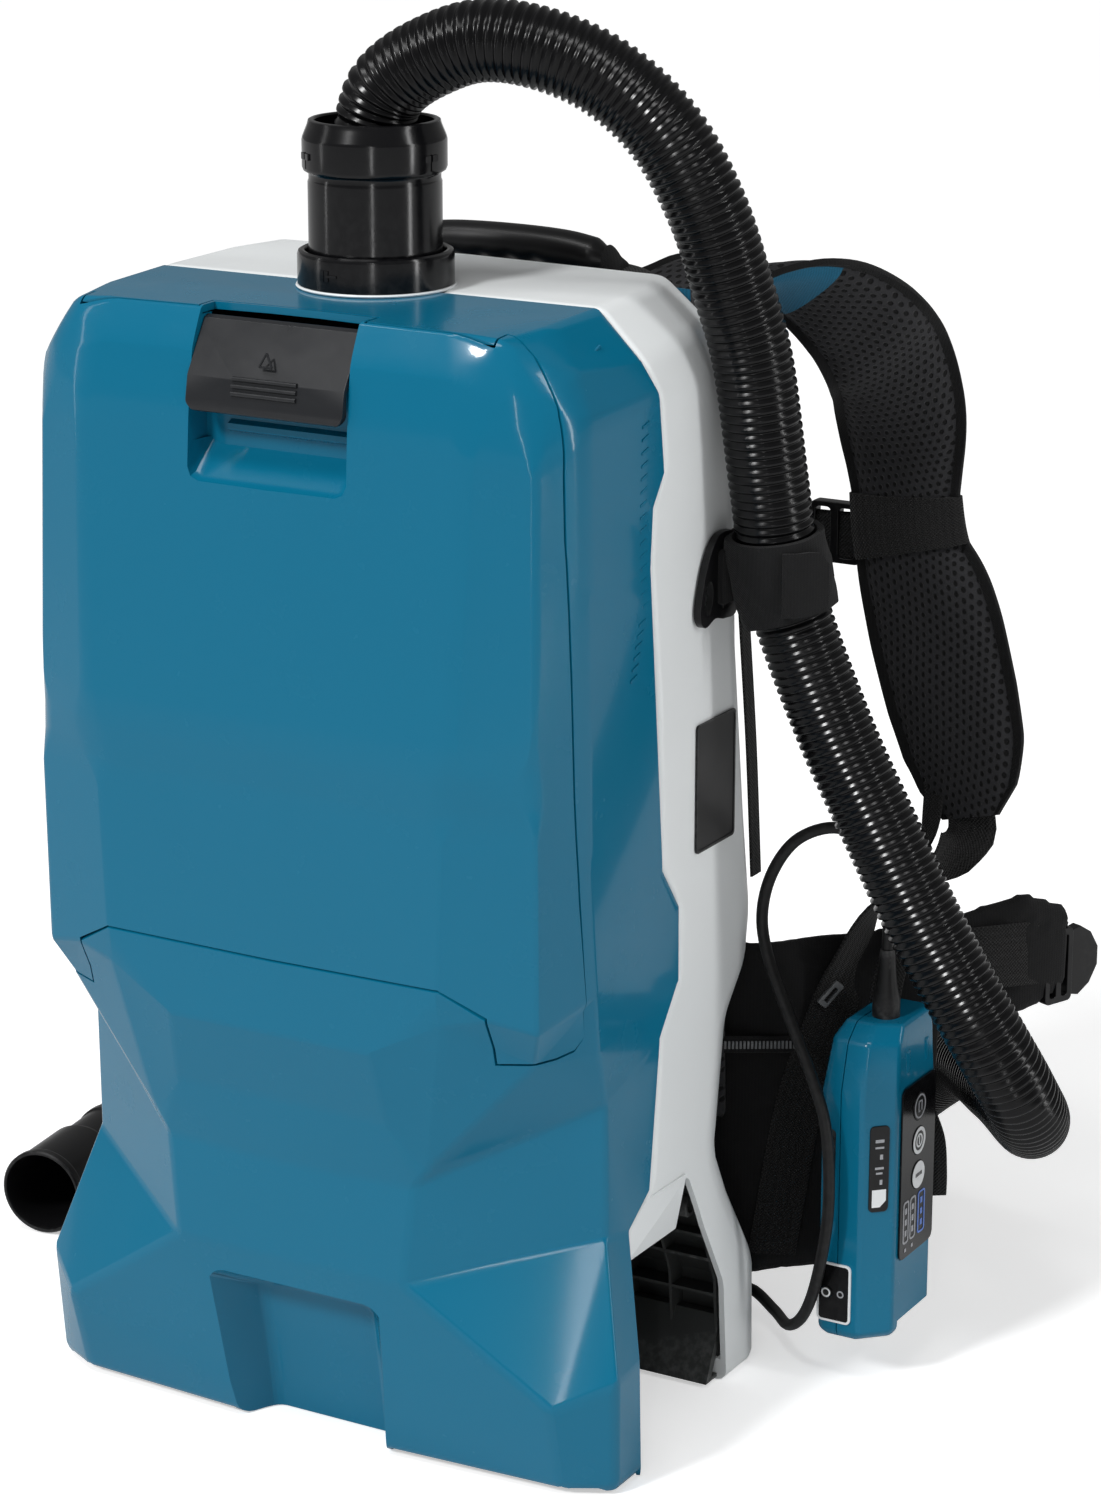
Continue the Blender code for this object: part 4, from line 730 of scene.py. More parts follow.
def door_region(name, gap):
    """Everything in front of the joint line; a positive gap makes it larger."""
    rings = []
    line = seam_line(gap)
    for x, radius in ((-SLANT_HALF + gap, SLANT_R), (-FLAT_HALF, SILL_R), (FLAT_HALF, SILL_R),
                      (SLANT_HALF - gap, SLANT_R)):
        arc = [(HINGE_Y + u, HINGE_Z + v) for u, v in circle(radius - gap, 10, (0, 0), 40, 150)]
        ring = [(-200, 600), (-200, arc[-1][1])] + arc[::-1] + [(line[-1][0], arc[0][1])] + line[:-1][::-1]
        rings.append([(x, y, z) for y, z in ring])
    region = loft(name, rings)
    lobe = circle(EAR_R + gap, 8, (HINGE_Y, HINGE_Z), 180, 270)
    heel = [(HINGE_Y + 16, HINGE_Z - EAR_R + 1.5 - gap), (HINGE_Y + 24, HINGE_Z - 7 - gap),
            (HINGE_Y + 28, HINGE_Z - 1)]
    outline = [(-200, 600), (-200, HINGE_Z - 3 - gap), (-113 - gap, HINGE_Z - 3 - gap)] + lobe[2:] + heel
    outline += line[::-1][1:]
    for low, high in ((-200, -SLANT_HALF + gap), (SLANT_HALF - gap, 200)):
        join(region, prism("region_side", "X", outline, low - 0.01, high + 0.01))
    for side in (-1, 1):
        x = sorted((side * (45 + gap), side * (112 - gap)))
        cut(region, box("region_lip", x, (-95.6 + gap, -60), (556 + gap, 640)))
    return region


def recess(name, wall=0.0):
    """Cut-out between the front feet."""
    rings = []
    for y, half, top, drop in ((-140, 62, 106, 0), (-105, 51.5, 86, 0), (-78 + wall, 33, 74, 14)):
        w = half + wall
        z = top + wall
        rings.append([(-w, y + drop, -12), (w, y + drop, -12), (w, y, z - 5), (w - 5, y, z), (-w + 5, y, z),
                      (-w, y, z - 5)])
    return loft(name, rings)


def make_cover():
    """The teal cover as one hollow moulding, then split at the joint into the lower cover and the door."""
    outer = cover_solid("cover")
    cut(outer, bevel(recess("recess"), 4.0, 40, 3))
    inner = cover_solid("cover_inner", WALL)
    cut(inner, recess("recess_inner", WALL))
    cut(outer, inner)
    door = placed("door_panel", outer.data.copy())
    cut(outer, door_region("opening", DOOR_GAP))
    cut(outer, rod("inlet_hole", "Z", (0, INLET_Y), 26, 540, 580, 48))
    outer.name = "cover_lower"
    boolean(door, door_region("door_limit", -DOOR_GAP), "INTERSECT")
    return outer, door


def add_door_details(door):
    """The latch's pocket with its ledge, and the rim that presses on the chamber's gasket."""
    half, low, deep = LATCH_HALF + 0.3, 481.0, -95.0
    outline = [(-125, low - 2.5), (deep + 2.5, low - 2.5), (deep + 2.5, 540), (-88.7, 545), (-88.7, 557),
               (-125, 557)]
    tray = prism("tray", "X", outline, -half - 2.5, half + 2.5)
    boolean(tray, cover_solid("tray_limit"), "INTERSECT")
    join(door, tray)
    rings = []
    for y, grow, sill in ((-150, 3.0, low - 3), (-112, 0.6, low + 1), (-107, 0.0, low + 3), (deep, -1.5, low + 16)):
        w, r = half + grow, 6.0
        rings.append([(-w, y, 560), (-w, y, sill + r), (-w + 0.3 * r, y, sill + 0.3 * r), (-w + r, y, sill),
                      (w - r, y, sill), (w - 0.3 * r, y, sill + 0.3 * r), (w, y, sill + r), (w, y, 560)])
    cut(door, loft("pocket", rings))
    cut(door, prism("pocket_top", "X", [(-150, 500), (-150, 620), (-86, 620), (-86, 548), (deep, 542), (deep, 500)],
                    -half, half))
    outline = [(deep - 3.5, low + 27), (deep + 1, low + 29), (deep + 1, low + 22), (deep - 3.5, low + 24)]
    join(door, prism("ledge", "X", outline, -half + 14, half + 0.5))
    rim = box("rim", (-119, 119), (-140, -66.3), (272, 541))
    cut(rim, box("rim_inside", (-116, 116), (-150, 0), (275, 538)))
    boolean(rim, cover_solid("rim_limit", 1.5), "INTERSECT")
    join(door, rim)


def make_latch():
    """The lever, with its finger ridges and a raised arrow."""
    y, z = LATCH_Y, LATCH_Z
    plate = [(y + 2.5, z + 3.2), (y - 0.5, z + 4.2), (y - 3.2, z + 3.0), (y - 5.4, z - 0.5), (-110.2, 531.5),
             (-112.6, 519), (-112.2, 515.8), (-110.9, 515), (-108.8, 515.6), (-108.6, 519), (-108.2, 530),
             (y - 1.8, z - 4), (y + 1.8, z - 3.6), (y + 4, z)]
    lever = prism("latch_lever_moulded", "X", plate, -LATCH_HALF, LATCH_HALF)
    corners = rounded((-LATCH_HALF - 0.2, 514.6), (LATCH_HALF + 0.2, 580), 7, 6)
    boolean(lever, prism("latch_corners", "Y", corners, -130, -60), "INTERSECT")
    bevel(lever, 1.3, 30, 3)
    slope = Vector((0, -110.0 + 111.4, 534 - 526.6)).normalized()

    def on_face(x, s):
        return Vector((x, -112.3, 522)) + slope * s

    def bar(a, b, radius, steps):
        join(lever, tube_mesh("lever_bar", [a, a.lerp(b, 0.5), b], [radius] * 3, steps))

    for s in (3.2, 6.6, 10.0):
        bar(on_face(-17.5, s), on_face(17.5, s), 1.1, 12)
    arrow = [on_face(x, s) for x, s in ((-3.4, 16.5), (3.4, 16.5), (0, 23.0))]
    for k in range(3):
        bar(arrow[k], arrow[(k + 1) % 3], 0.55, 8)
    hard(lever, GREY_SATIN, "latch_lever", body="latch")


# ---- rear shell

# Rows from the cover's rear edge round to the middle of the back, right half, from the top down.
BACK_ROWS = [
    [(121.5, -17.5, 562), (119, 40, 563.5), (108, 70, 564.3), (0, 75, 564.5)],
    [(141.5, -14.5, 539.5), (141, 38, 543), (130, 73, 545), (0, 77, 545)],
    [(149.2, -10.4, 524.3), (148.5, 48, 522), (137, 76, 520), (0, 79, 520)],
    [(149.6, -6, 487), (149.6, 56, 490), (141, 78, 490), (0, 80.5, 490)],
    [(149.6, -17, 472), (149.6, 60, 470), (141.5, 79, 468), (0, 81, 468)],
    [(149.6, -19, 446), (149.6, 62, 442), (142, 80, 438), (0, 82, 438)],
    [(149.6, -10, 380), (149.6, 66, 385), (142, 82, 385), (0, 84, 385)],
    [(149.6, -4.5, 294), (149.6, 77, 300), (143, 91, 300), (0, 93, 300)],
    [(149.6, 12, 272), (149.6, 84, 250), (144, 98, 246), (0, 98, 246)],
    [(149.6, 12.5, 234), (149.6, 80, 222), (144, 94, 219), (0, 96, 219)],
    [(149.6, -6, 210), (148.6, 62, 198), (143, 75, 196), (0, 82, 196)],
    [(148.6, -13.7, 134), (146.6, 52, 130), (142, 68, 126), (0, 78, 126)],
    [(149.6, -38, 122), (147.6, 66, 100), (143, 80, 100), (0, 84, 100)],
    [(149.6, -38, 61), (149.6, 93, 58), (146, 104, 58), (0, 100, 58)],
    [(149.6, -38, 0), (149.6, 95, 0), (146, 105, 0), (0, 100, 0)],
]
BAY = [(28, 127), (64, 56), (69, -8), (-75, -8), (-75, 92), (-42, 104)]


def shell_solid(name, inset=0.0):
    """The rear shell as a solid block; an inset makes the smaller block that hollows it."""
    inward = ((-1, -5), (-1, -0.3), (-0.8, -0.8), (0, -1))
    drops = [inset] + [0] * (len(BACK_ROWS) - 2) + [-12 if inset else 0]
    rings = []
    for row, drop in zip(BACK_ROWS, drops):
        ring = [(x + dx * inset, y + dy * inset, z - drop) for (x, y, z), (dx, dy) in zip(row, inward)]
        rings.append(ring + sided(ring, -1)[::-1][1:])
    obj = loft(name, rings)
    return triangulated(obj if inset else bevel(obj, 5.5, 7, 3))


def make_shell():
    """White rear shell, with its battery bays and the openings for the inlet and the cable."""
    shell = shell_solid("rear_shell_moulded")
    cut(shell, shell_solid("shell_inside", WALL))
    for side in (-1, 1):
        cut(shell, bevel(prism("bay", "X", BAY, *sorted((side * 64, side * 210))), 4, 20, 3))
    cut(shell, rod("deck_hole", "Z", (0, INLET_Y), 37.3, 540, 580, 48))
    cut(shell, rod("gland_hole", "Y", GLAND_AT, 6.3, 70, 130, 20))
    hard(shell, WHITE, "rear_shell", 32)


def block(name, centre, u, v, size):
    """A box lying along two directions."""
    u, v = Vector(u).normalized(), Vector(v)
    v = (v - u * v.dot(u)).normalized()
    n = u.cross(v)
    c = Vector(centre)
    a, b, d = (s / 2 for s in size)
    rings = [[c + u * p + v * q + n * r for p, q in ((-a, -b), (a, -b), (a, b), (-a, b))] for r in (-d, d)]
    return loft(name, rings)


# ---- inlet


def around(deg):
    """Outward and sideways directions at an angle round an upright axis."""
    a = radians(deg)
    return Vector((cos(a), sin(a), 0)), Vector((-sin(a), cos(a), 0))


def make_inlet():
    centre = (0, INLET_Y)
    collar = turned("inlet_collar_moulded", "Z", centre, [
        (34.5, 563.7), (37.0, 563.7), (37.0, 577.2), (36.4, 578.9), (35.0, 579.6), (33.6, 579.3), (32.9, 578),
        (32.6, 573), (32.6, 567.4), (34.5, 566.8)], 96)
    for deg, wide, high in ((-100, 2.2, 5), (-96, 2.2, 5), (-92, 6, 1.2), (60, 8, 6), (150, 8, 6)):
        out, along = around(deg)
        join(collar, block("collar_mark", Vector((0, INLET_Y, 571)) + out * 37.0, along, out, (wide, 0.9, high)))
    hard(collar, BLACK_GLOSS, "inlet_collar", 32)
    shim = [(34.6, 562.1), (37.5, 562.1), (37.9, 562.7), (37.5, 563.4), (34.6, 563.4)]
    hard(turned("collar_shim", "Z", centre, shim, 96), WHITE, angle=32)
    swivel = turned("inlet_swivel_moulded", "Z", centre, [
        (26.2, 567.7), (31.5, 567.7), (31.5, 611.0), (31.0, 612.2), (31.0, 614.6), (31.4, 615.4), (33.4, 616.6),
        (34.0, 618.2), (34.0, 630.6), (33.6, 632.2), (31.4, 637.6), (30.9, 639.6), (30.2, 640.0), (28.6, 640.0),
        (28.0, 639.2), (27.7, 627.5), (24.4, 626.6), (24.4, 622), (26.2, 618)], 96)
    for deg in (-128, -8, 112):
        out, along = around(deg)
        join(swivel, block("lug", Vector((0, INLET_Y, 624)) + out * 33.8, along, out, (9, 1.6, 3.0)))
        cut(swivel, block("nick", Vector((0, INLET_Y, 622)) + out * 34.4, along, out, (1.4, 1.6, 8)))
    hard(swivel, BLACK_GLOSS, "inlet_swivel", 32, body="swivel")


# ---- vents, plate, hook and band


def make_vents():
    """Two rows of small raised dashes on the cover's sides, following its rear edge."""
    dashes = [(133.3, -41, 548), (137.2, -37, 541), (141.2, -33, 533), (145.2, -29.6, 525)]
    dashes += [(149.5, -24 - 2.2 * sin(k / 14 * pi), 512 - k * 6.0) for k in range(15)]
    dashes += [(149.7, -27 - k * 1.5, 420 - k * 5.0) for k in range(6)]
    points, faces = [], []
    for x, y, z in dashes:
        for side in (1, -1):
            base = len(points)
            points += [(side * (x + dx), y + dy, z + dz) for dx in (-0.8, 0.5)
                       for dy, dz in ((-3.0, -1.6), (3.0, 0.2), (3.0, 1.6), (-3.0, -0.2))]
            faces += [tuple(base + i for i in f) for f in (
                (0, 1, 2, 3), (7, 6, 5, 4), (0, 4, 5, 1), (1, 5, 6, 2), (2, 6, 7, 3), (3, 7, 4, 0))]
    hard(bevel(mesh_object("vent_dashes", points, faces), 0.3, 30, 2), TEAL)


def make_flap():
    """Slanted wall that closes the top of each battery bay, and its screw boss."""
    for side, word in SIDES:
        outer = [(149.2, -13.7, 131), (149.2, 24.5, 129.5), (138, 34.5, 94), (138, -17, 94.5)]
        inner = [(x - 3.2, y, z - 0.5) for x, y, z in outer]
        flap = loft(f"bay_flap_{word}", [sided(inner, side), sided(outer, side)])
        hard(bevel(flap, 0.9, 30, 3), WHITE, angle=35)
        boss = [(2.9, 132), (5.6, 132), (5.6, 139), (5.0, 140), (3.4, 140), (2.9, 139)]
        screw = [(0.01, 134), (2.7, 134), (2.7, 136.6), (2.2, 137.4), (0.9, 137.4), (0.8, 136.4), (0.01, 136.4)]
        for name, profile, steps, material in (("boss", boss, 32, DARK_RIB), ("screw", screw, 24, SCREW_MAT)):
            piece = turned(f"bay_{name}_{word}", "X", (46, 102), [(r, side * x) for r, x in profile], steps)
            hard(piece, material, angle=35)


def make_hook():
    """Moulded loop that holds the hose's band."""
    outline = [(60, 408), (60, 430), (59, 445), (50, 448.5), (39, 447), (30, 437), (24, 422), (22.5, 411), (28, 405.5),
               (38, 408), (48, 406)]
    shape = [(p.x, p.y) for p in closed_curve([(u, v, 0) for u, v in outline], 5)]
    hook = prism("band_hook_loop", "X", shape, 150.4, 154.2)
    hole = [(31 + 4.0 * cos(a), 419 + 1.6 * cos(a) + 8.2 * sin(a)) for a in turns(28)]
    cut(hook, prism("hook_hole", "X", hole, 140, 170))
    groove = [(44, 411), (46, 411), (45, 443), (43, 441)]
    cut(hook, prism("hook_groove", "X", groove, 153.2, 160))
    hard(bevel(hook, 1.1, 40, 3), BLACK_SATIN, "band_hook")
    tongue = prism("band_tongue", "X", rounded((39, 414), (60, 441), 3, 3), 154.0, 157.0)
    hard(bevel(tongue, 1.0, 30, 2), CLOTH)


def make_band():
    """Fabric cuff wrapped round the hose, with a worn edge and a loose end."""
    route = [p for p in smooth_route(HOSE_ROUTE, 900) if 409 < p.z < 449 and p.x > 100]
    points = [route[int(k * (len(route) - 1) / 15)] for k in range(16)]
    turn = turns(64)
    outer, inner = [], []
    for i, (p, (_, side, up)) in enumerate(zip(points, frames_along(points))):
        bulge = 1.2 * sin(pi * i / 15) ** 0.6
        ways = [side * cos(a) + up * sin(a) for a in turn]
        waves = [0.35 * sin(3 * a + 0.5 * i) + 0.25 * sin(7 * a - 0.8 * i) + 0.15 * sin(13 * a + i)
                 for a in turn]
        outer.append([p + out * (23.4 + bulge + wave) for out, wave in zip(ways, waves)])
        inner.append([p + out * 20.3 for out in ways])
    band = soft(loft("hose_band_cloth", outer + inner[::-1], closed=True), CLOTH, "hose_band")
    tab = []
    for deg, r, rise, half, dip in ((-62, 25.2, 0, 15.5, 0), (-48, 25.6, 0, 15.5, 0), (-34, 26.0, 0.4, 15.5, 0),
                                    (-22, 26.6, 0.8, 14.2, 0), (-13, 27.8, 1.2, 11.0, 3)):
        out, _ = around(deg)
        low, high = points[8] + out * r, points[8] + out * r
        low.z += rise - half
        high.z += rise + half - dip
        thin = out * 1.5
        tab.append([low, low + thin, high + thin, high])
    soft(loft("hose_band_flap", tab), CLOTH)


def make_side_plate():
    """Plain plate on the shell's side, with a fine border."""
    plate = prism("side_plate_moulded", "X", rounded((27, 293), (66.5, 357), 2.2, 4), 149.9, 151.0)
    cut(plate, prism("plate_field", "X", rounded((28.4, 294.4), (65.1, 355.6), 1.6, 4), 150.7, 155))
    hard(plate, BLACK_SATIN, "side_plate")


# ---- control box

BOX_X = (187.0, 224.0)
BOX_Y = (93.0, 155.0)
BOX_Z = (25.0, 198.0)
CHAMFER = 13.0
PARTING = 199.0
PANEL_Z = (66.0, 158.0)
PANEL_FACE = 225.2
PAIR_AT = (193.5, 50.0)
BUTTON_Y = 129.5
BUTTON_Z = 144.0  # the top button's centre
BUTTON_STEP = 18.5


def box_ring(z, grow, lean=0.0, slim=0.0):
    """One level of the control box; lean draws its front edge back and slim narrows it."""
    x0, x1 = BOX_X[0] - grow, BOX_X[1] + grow
    y0, y1 = BOX_Y[0] - grow, BOX_Y[1] + grow
    c = CHAMFER
    ring = [(x0, y0 + 3, z), (x0 + 3, y0, z), (x1 - c, y0, z), (x1, y0 + c, z), (x1, y1 - 6, z), (x1 - 6, y1, z),
            (x0 + 3, y1, z), (x0, y1 - 3, z)]
    middle = (BOX_Y[0] + BOX_Y[1]) / 2
    return [(x - slim * 0.4 if x > PARTING else x + slim, y + lean * (1 if y < middle else 0.2) * (middle - y), z)
            for x, y, z in ring]


def box_rings(grow):
    low, high = BOX_Z
    edge = max(-grow, 0)
    return [box_ring(low + edge, grow - 3), box_ring(low + 4 + edge / 2, grow), box_ring(high - 40, grow),
            box_ring(high - 15, grow, 0.22, 2.2), box_ring(high - 7 - edge, grow, 0.55, 5.5)]


def flat_ring(name, axis, centre, outer, inner, low, high, steps=40):
    return turned(name, axis, centre, [(inner, low), (outer, low), (outer, high), (inner, high)], steps)


def icon_ring(y, z, outer, inner):
    return flat_ring("icon_ring", "X", (y, z), outer, inner, 225.62, 225.78)


def dash(y, z, wide, tall, x=225.7, thick=0.16):
    """A small printed bar on the box's outer face."""
    return block("dash", (x, y, z), (0, 1, 0), (0, 0, 1), (wide, tall, thick))


def make_box():
    back, front = (bevel(loft(name, box_rings(0)), 2.0, 20, 3) for name in ("control_case_back", "control_case_front"))
    for case, keep in ((back, (0, PARTING - 0.25)), (front, (PARTING + 0.25, 400))):
        cut(case, loft("room", box_rings(-2.5)))
        boolean(case, box("half", keep, (0, 300), (0, 300)), "INTERSECT")
    y = BOX_Y[0]
    cut(back, prism("adapter_slot", "Y", rounded((190.4, 104), (196.6, 138), 2.4, 4), y - 5, y + 1.9))
    insert = prism("adapter_cover", "Y", rounded((190.9, 104.5), (196.1, 137.5), 2.0, 4), y + 0.5, y + 2.4)
    cut(insert, prism("adapter_lip", "Y", rounded((192.4, 108), (194.8, 112), 0.9, 3), y, y + 1.2))
    hard(insert, RUBBER, slot="black_plastic")
    cut(back, rod("pair_hole", "Y", PAIR_AT, 3.6, y - 5, y + 8, 28))
    seat = rounded((110.2, PANEL_Z[0] - 0.6), (149.6, PANEL_Z[1] + 0.6), 4.4, 5)
    cut(front, prism("panel_seat", "X", seat, BOX_X[1] - 0.5, BOX_X[1] + 5))
    cut(front, box("foot_step", (205, 240), (112, 170), (10, 33)))
    for k in range(3):
        cut(front, rod("button_hole", "X", (BUTTON_Y, BUTTON_Z - BUTTON_STEP * k), 7.7, 215, 235, 32))
    for at in (118.0, 140.0):
        join(front, bevel(block("shoulder", (222.2, at, 171), (0, 0, 1), (0, 1, 0), (13, 5, 4)), 1.6, 20, 3))
    hard(back, TEAL, "control_box_back", 33)
    hard(front, TEAL, "control_box_front", 33)
    make_gauge_strip()
    make_pairing_plate(y)
    make_icons()


def make_gauge_strip():
    """Screen strip on the box's chamfer, with its small marks."""
    c = Vector(((BOX_X[1] - CHAMFER + BOX_X[1]) / 2, BOX_Y[0] + CHAMFER / 2, 119))
    out = Vector((1, -1, 0)).normalized()
    across = Vector((1, 1, 0)).normalized()
    up = Vector((0, 0, 1))

    def at(u, v, d):
        return c + out * d + across * u + up * v

    outline = rounded((-5.2, -23), (5.2, 23), 2.4, 4)
    hard(bevel(loft("gauge_strip", [[at(u, v, d) for u, v in outline] for d in (-0.4, 0.7)]), 0.3, 30, 2), BLACK_GLOSS)
    marks = ((0, 15, 4.6, 1.6), (0, 11.5, 4.6, 1.0), (1, 6.5, 1.6, 2.6), (0, 0.5, 4.6, 1.2), (0, -2.2, 3.4, 1.0),
             (1, -7, 1.4, 2.6))
    merged([block("strip_mark", at(u, v, 0.76), across, up, (wide, tall, 0.16)) for u, v, wide, tall in marks],
           "gauge_strip_marks", ICON_GREY)
    outline = ((-3.6, -11), (3.8, -11), (3.8, -17), (0.6, -20.4), (-3.6, -20.4))
    hard(loft("gauge_strip_tile", [[at(u, v, d) for u, v in outline] for d in (0.66, 0.84)]), ICON_WHITE)


def make_pairing_plate(y):
    """Framed plate round the pairing button, on the box's face at this Y."""
    plate = prism("pairing_plate_framed", "Y", rounded((189.2, 35.2), (205.8, 65.2), 1.8, 3), y - 0.7, y - 0.05)
    cut(plate, rod("pair_gap", "Y", PAIR_AT, 3.4, y - 5, y + 5, 28))
    hard(plate, BLACK_GLOSS, "pairing_plate")
    border = prism("pairing_frame", "Y", rounded((188.2, 34.2), (206.8, 66.2), 2.6, 4), y - 1.0, y - 0.05)
    cut(border, prism("frame_hole", "Y", rounded((189.3, 35.3), (205.7, 65.1), 1.8, 4), y - 5, y + 5))
    hard(border, ICON_WHITE)
    icon = flat_ring("pairing_icon", "Y", PAIR_AT, 2.5, 1.7, y - 1.66, y - 1.52, 32)
    hard(icon, ICON_WHITE, body="button_pair")
    hard(flat_ring("pairing_mark", "Y", (201.2, 50), 1.9, 1.2, y - 0.92, y - 0.74, 24), ICON_GREY)


def merged(objects, name, material, **rest):
    """Many small solids as one piece."""
    base, *others = objects
    with editing(base) as work:
        for other in others:
            work.from_mesh(other.data)
    for other in others:
        bpy.data.objects.remove(other)
    base.name = name
    return soft(base, material, angle=40, **rest)


def make_icons():
    y, z = BUTTON_Y, BUTTON_Z
    sync = [icon_ring(y, z, 6.4, 5.5), dash(y - 1.6, z + 0.2, 0.8, 5.6), dash(y + 1.9, z + 0.2, 0.8, 5.6),
            dash(y + 0.1, z + 2.7, 3.6, 0.8), dash(y - 0.9, z - 2.6, 1.8, 0.8)]
    merged(sync, "icon_sync", ICON_GREY, body="button_sync")
    z -= BUTTON_STEP
    power = [icon_ring(y, z, 7.1, 5.2), icon_ring(y, z, 3.7, 2.7), dash(y, z + 0.2, 0.9, 4.4)]
    merged(power, "icon_power", ICON_WHITE, body="button_power")
    z -= BUTTON_STEP
    merged([icon_ring(y, z, 7.1, 2.4), icon_ring(y, z, 2.5, 0.05)], "icon_mode", ICON_WHITE, body="button_mode")
    marks = [dash(y - 3.1 + 1.55 * k, z + 0.3, 0.95, 1.9, 225.86, 0.14) for k in range(5)]
    merged(marks, "icon_mode_marks", DARK_MOULD, body="button_mode", slot="white_plastic")
    make_gauges()


def make_gauges():
    """Three level gauges low on the panel: two in white, one in blue."""
    white, blue = [], []
    face = PANEL_FACE + 0.14
    for y0, y1, marks in ((113.0, 119.6, white), (121.0, 127.6, white), (130.4, 138.6, blue)):
        ring = prism("gauge", "X", rounded((y0, 74), (y1, 97), 2.0, 4), PANEL_FACE + 0.02, PANEL_FACE + 0.3)
        cut(ring, prism("gauge_hole", "X", rounded((y0 + 1.0, 75), (y1 - 1.0, 96), 1.2, 4), 200, 240))
        marks.append(ring)
        marks += [dash((y0 + y1) / 2, 79.5 + 6 * j, 2.2, 3.2, face, 0.2) for j in range(3)]
    white += [dash(y, 70.4, 2.0, 2.0, face, 0.2) for y in (116.3, 124.3)]
    merged(white, "gauge_marks_white", ICON_GREY)
    merged(blue, "gauge_marks_blue", ICON_BLUE)


# ---- harness

STRAP_ROUTE = [
    (72, 90.4, 515.5), (80, 94, 533), (94, 105, 546), (118, 122, 555), (145, 152, 548), (163, 182, 524),
    (163, 215, 490), (158, 236, 450), (161.5, 240, 405), (174.5, 239, 370), (187, 235, 335), (200, 229, 300),
    (208, 222, 268),
]
STRAP_ACROSS = [
    (1, 0.03, 0), (1, 0, 0), (1, -0.1, 0.05), (0.9, -0.1, 0.35), (0.75, 0, 0.6), (0.65, 0, 0.7),
    (0.85, 0, 0.45), (1, 0, 0.1), (1, 0, 0), (1, 0, -0.15), (1, 0, -0.1), (1, 0, 0.1), (1, 0, 0.35),
]
WEB_ROUTE = [
    (208.6, 221.5, 258.6), (205, 208, 252), (196, 186, 243), (187, 162.5, 235), (180.9, 150.2, 222),
    (173.8, 146.6, 200), (168.8, 143.5, 180), (156.2, 134.1, 131), (147.4, 126.7, 62), (145.9, 125.4, 48),
]
LEFT_DROP = 12.0


def evenly(values, count):
    """A list of vectors stretched to count entries by plain interpolation."""
    out = []
    for i in range(count):
        at = i / (count - 1) * (len(values) - 1)
        k = min(int(at), len(values) - 2)
        out.append(Vector(values[k]).lerp(Vector(values[k + 1]), at - k))
    return out


def sided(points, side):
    """The right half's points, mirrored for the left."""
    return [(side * x, y, z) for x, y, z in points]


def mirror(obj, side):
    """Turns a piece made for the right into the left one."""
    if side < 0:
        for v in obj.data.vertices:
            v.co.x = -v.co.x
        obj.data.flip_normals()
    return obj


def lowered(route, drops, rest):
    """A route with its first points lowered by drops and the others by rest."""
    drops = drops + [rest] * (len(route) - len(drops))
    return [(x, y, z - drop) for (x, y, z), drop in zip(route, drops)]


def band_mesh(name, points, sides, section):
    """Lofts a cross-section along a route: section(share of the way) gives (across, up) in millimetres."""
    rings, widths = [], []
    run = [0.0]
    for p, q in zip(points, points[1:]):
        run.append(run[-1] + (q - p).length)
    for i, p in enumerate(points):
        t = (points[min(i + 1, len(points) - 1)] - points[max(i - 1, 0)]).normalized()
        side = Vector(sides[i])
        side = (side - t * side.dot(t)).normalized()
        up = t.cross(side)
        shape = section(run[i] / run[-1])
        rings.append([p + side * u + up * v for u, v in shape])
        widths.append([u for u, _ in shape])
    obj = loft(name, rings)
    n = len(rings[0])
    layer = obj.data.uv_layers.new(name="UVMap")
    for loop in obj.data.loops:
        v = loop.vertex_index
        layer.data[loop.index].uv = (widths[v // n][v % n], run[v // n])
    return obj


def web_section(width, thick):
    """Outline of flat webbing, thinner at its two edges."""
    h, t = width / 2, thick / 2
    e = t * 0.7
    half = [(h, t - e), (h - e, t), (h / 2, t), (0, t + 0.1), (-h / 2, t), (e - h, t), (-h, t - e)]
    return half + [(-h, e - t), (e - h, -t), (-h / 2, -t), (0, -t), (h / 2, -t), (h - e, -t), (h, e - t)]


def webbing(name, route, sides, width, thick, count, node=None, material=WEBBING):
    """A strap of flat webbing along a route; sides are the directions of its width, spread evenly over it."""
    points = smooth_route(route, count)
    sides = evenly(sides, count) if len(sides) > 1 else sides * count
    outline = web_section(width, thick)
    obj = band_mesh(name, points, sides, lambda share: outline)
    soft(obj, material, node, slot="webbing")


PAD_SECTION = (1.0, 0.985, 0.93, 0.865, 0.84, 0.815, 0.74, 0.6, 0.4, 0.2, 0.0)
PAD_EDGE = 1.7  # half the thickness of a pad's binding


def strap_rise(u, full):
    """Half thickness across a padded strap: flat binding, stitched dip, crowned middle."""
    u = abs(u)
    if u > 0.985:
        return PAD_EDGE * 0.35
    if u > 0.865:
        return PAD_EDGE
    dip = PAD_EDGE * 0.62
    if u > 0.815:
        return dip
    return dip + (full - dip) * (1 - (u / 0.815) ** 2.6) ** 0.5


PAD_CREST = 0.536  # the left pad lies flat above this height, so the shell hides it
PAD_RINGS = 120
TEAL_RINGS = 31  # how many of them the teal cover at the upper end takes up
KEEPER_RINGS = slice(73, 82)  # where the elastic loop lies


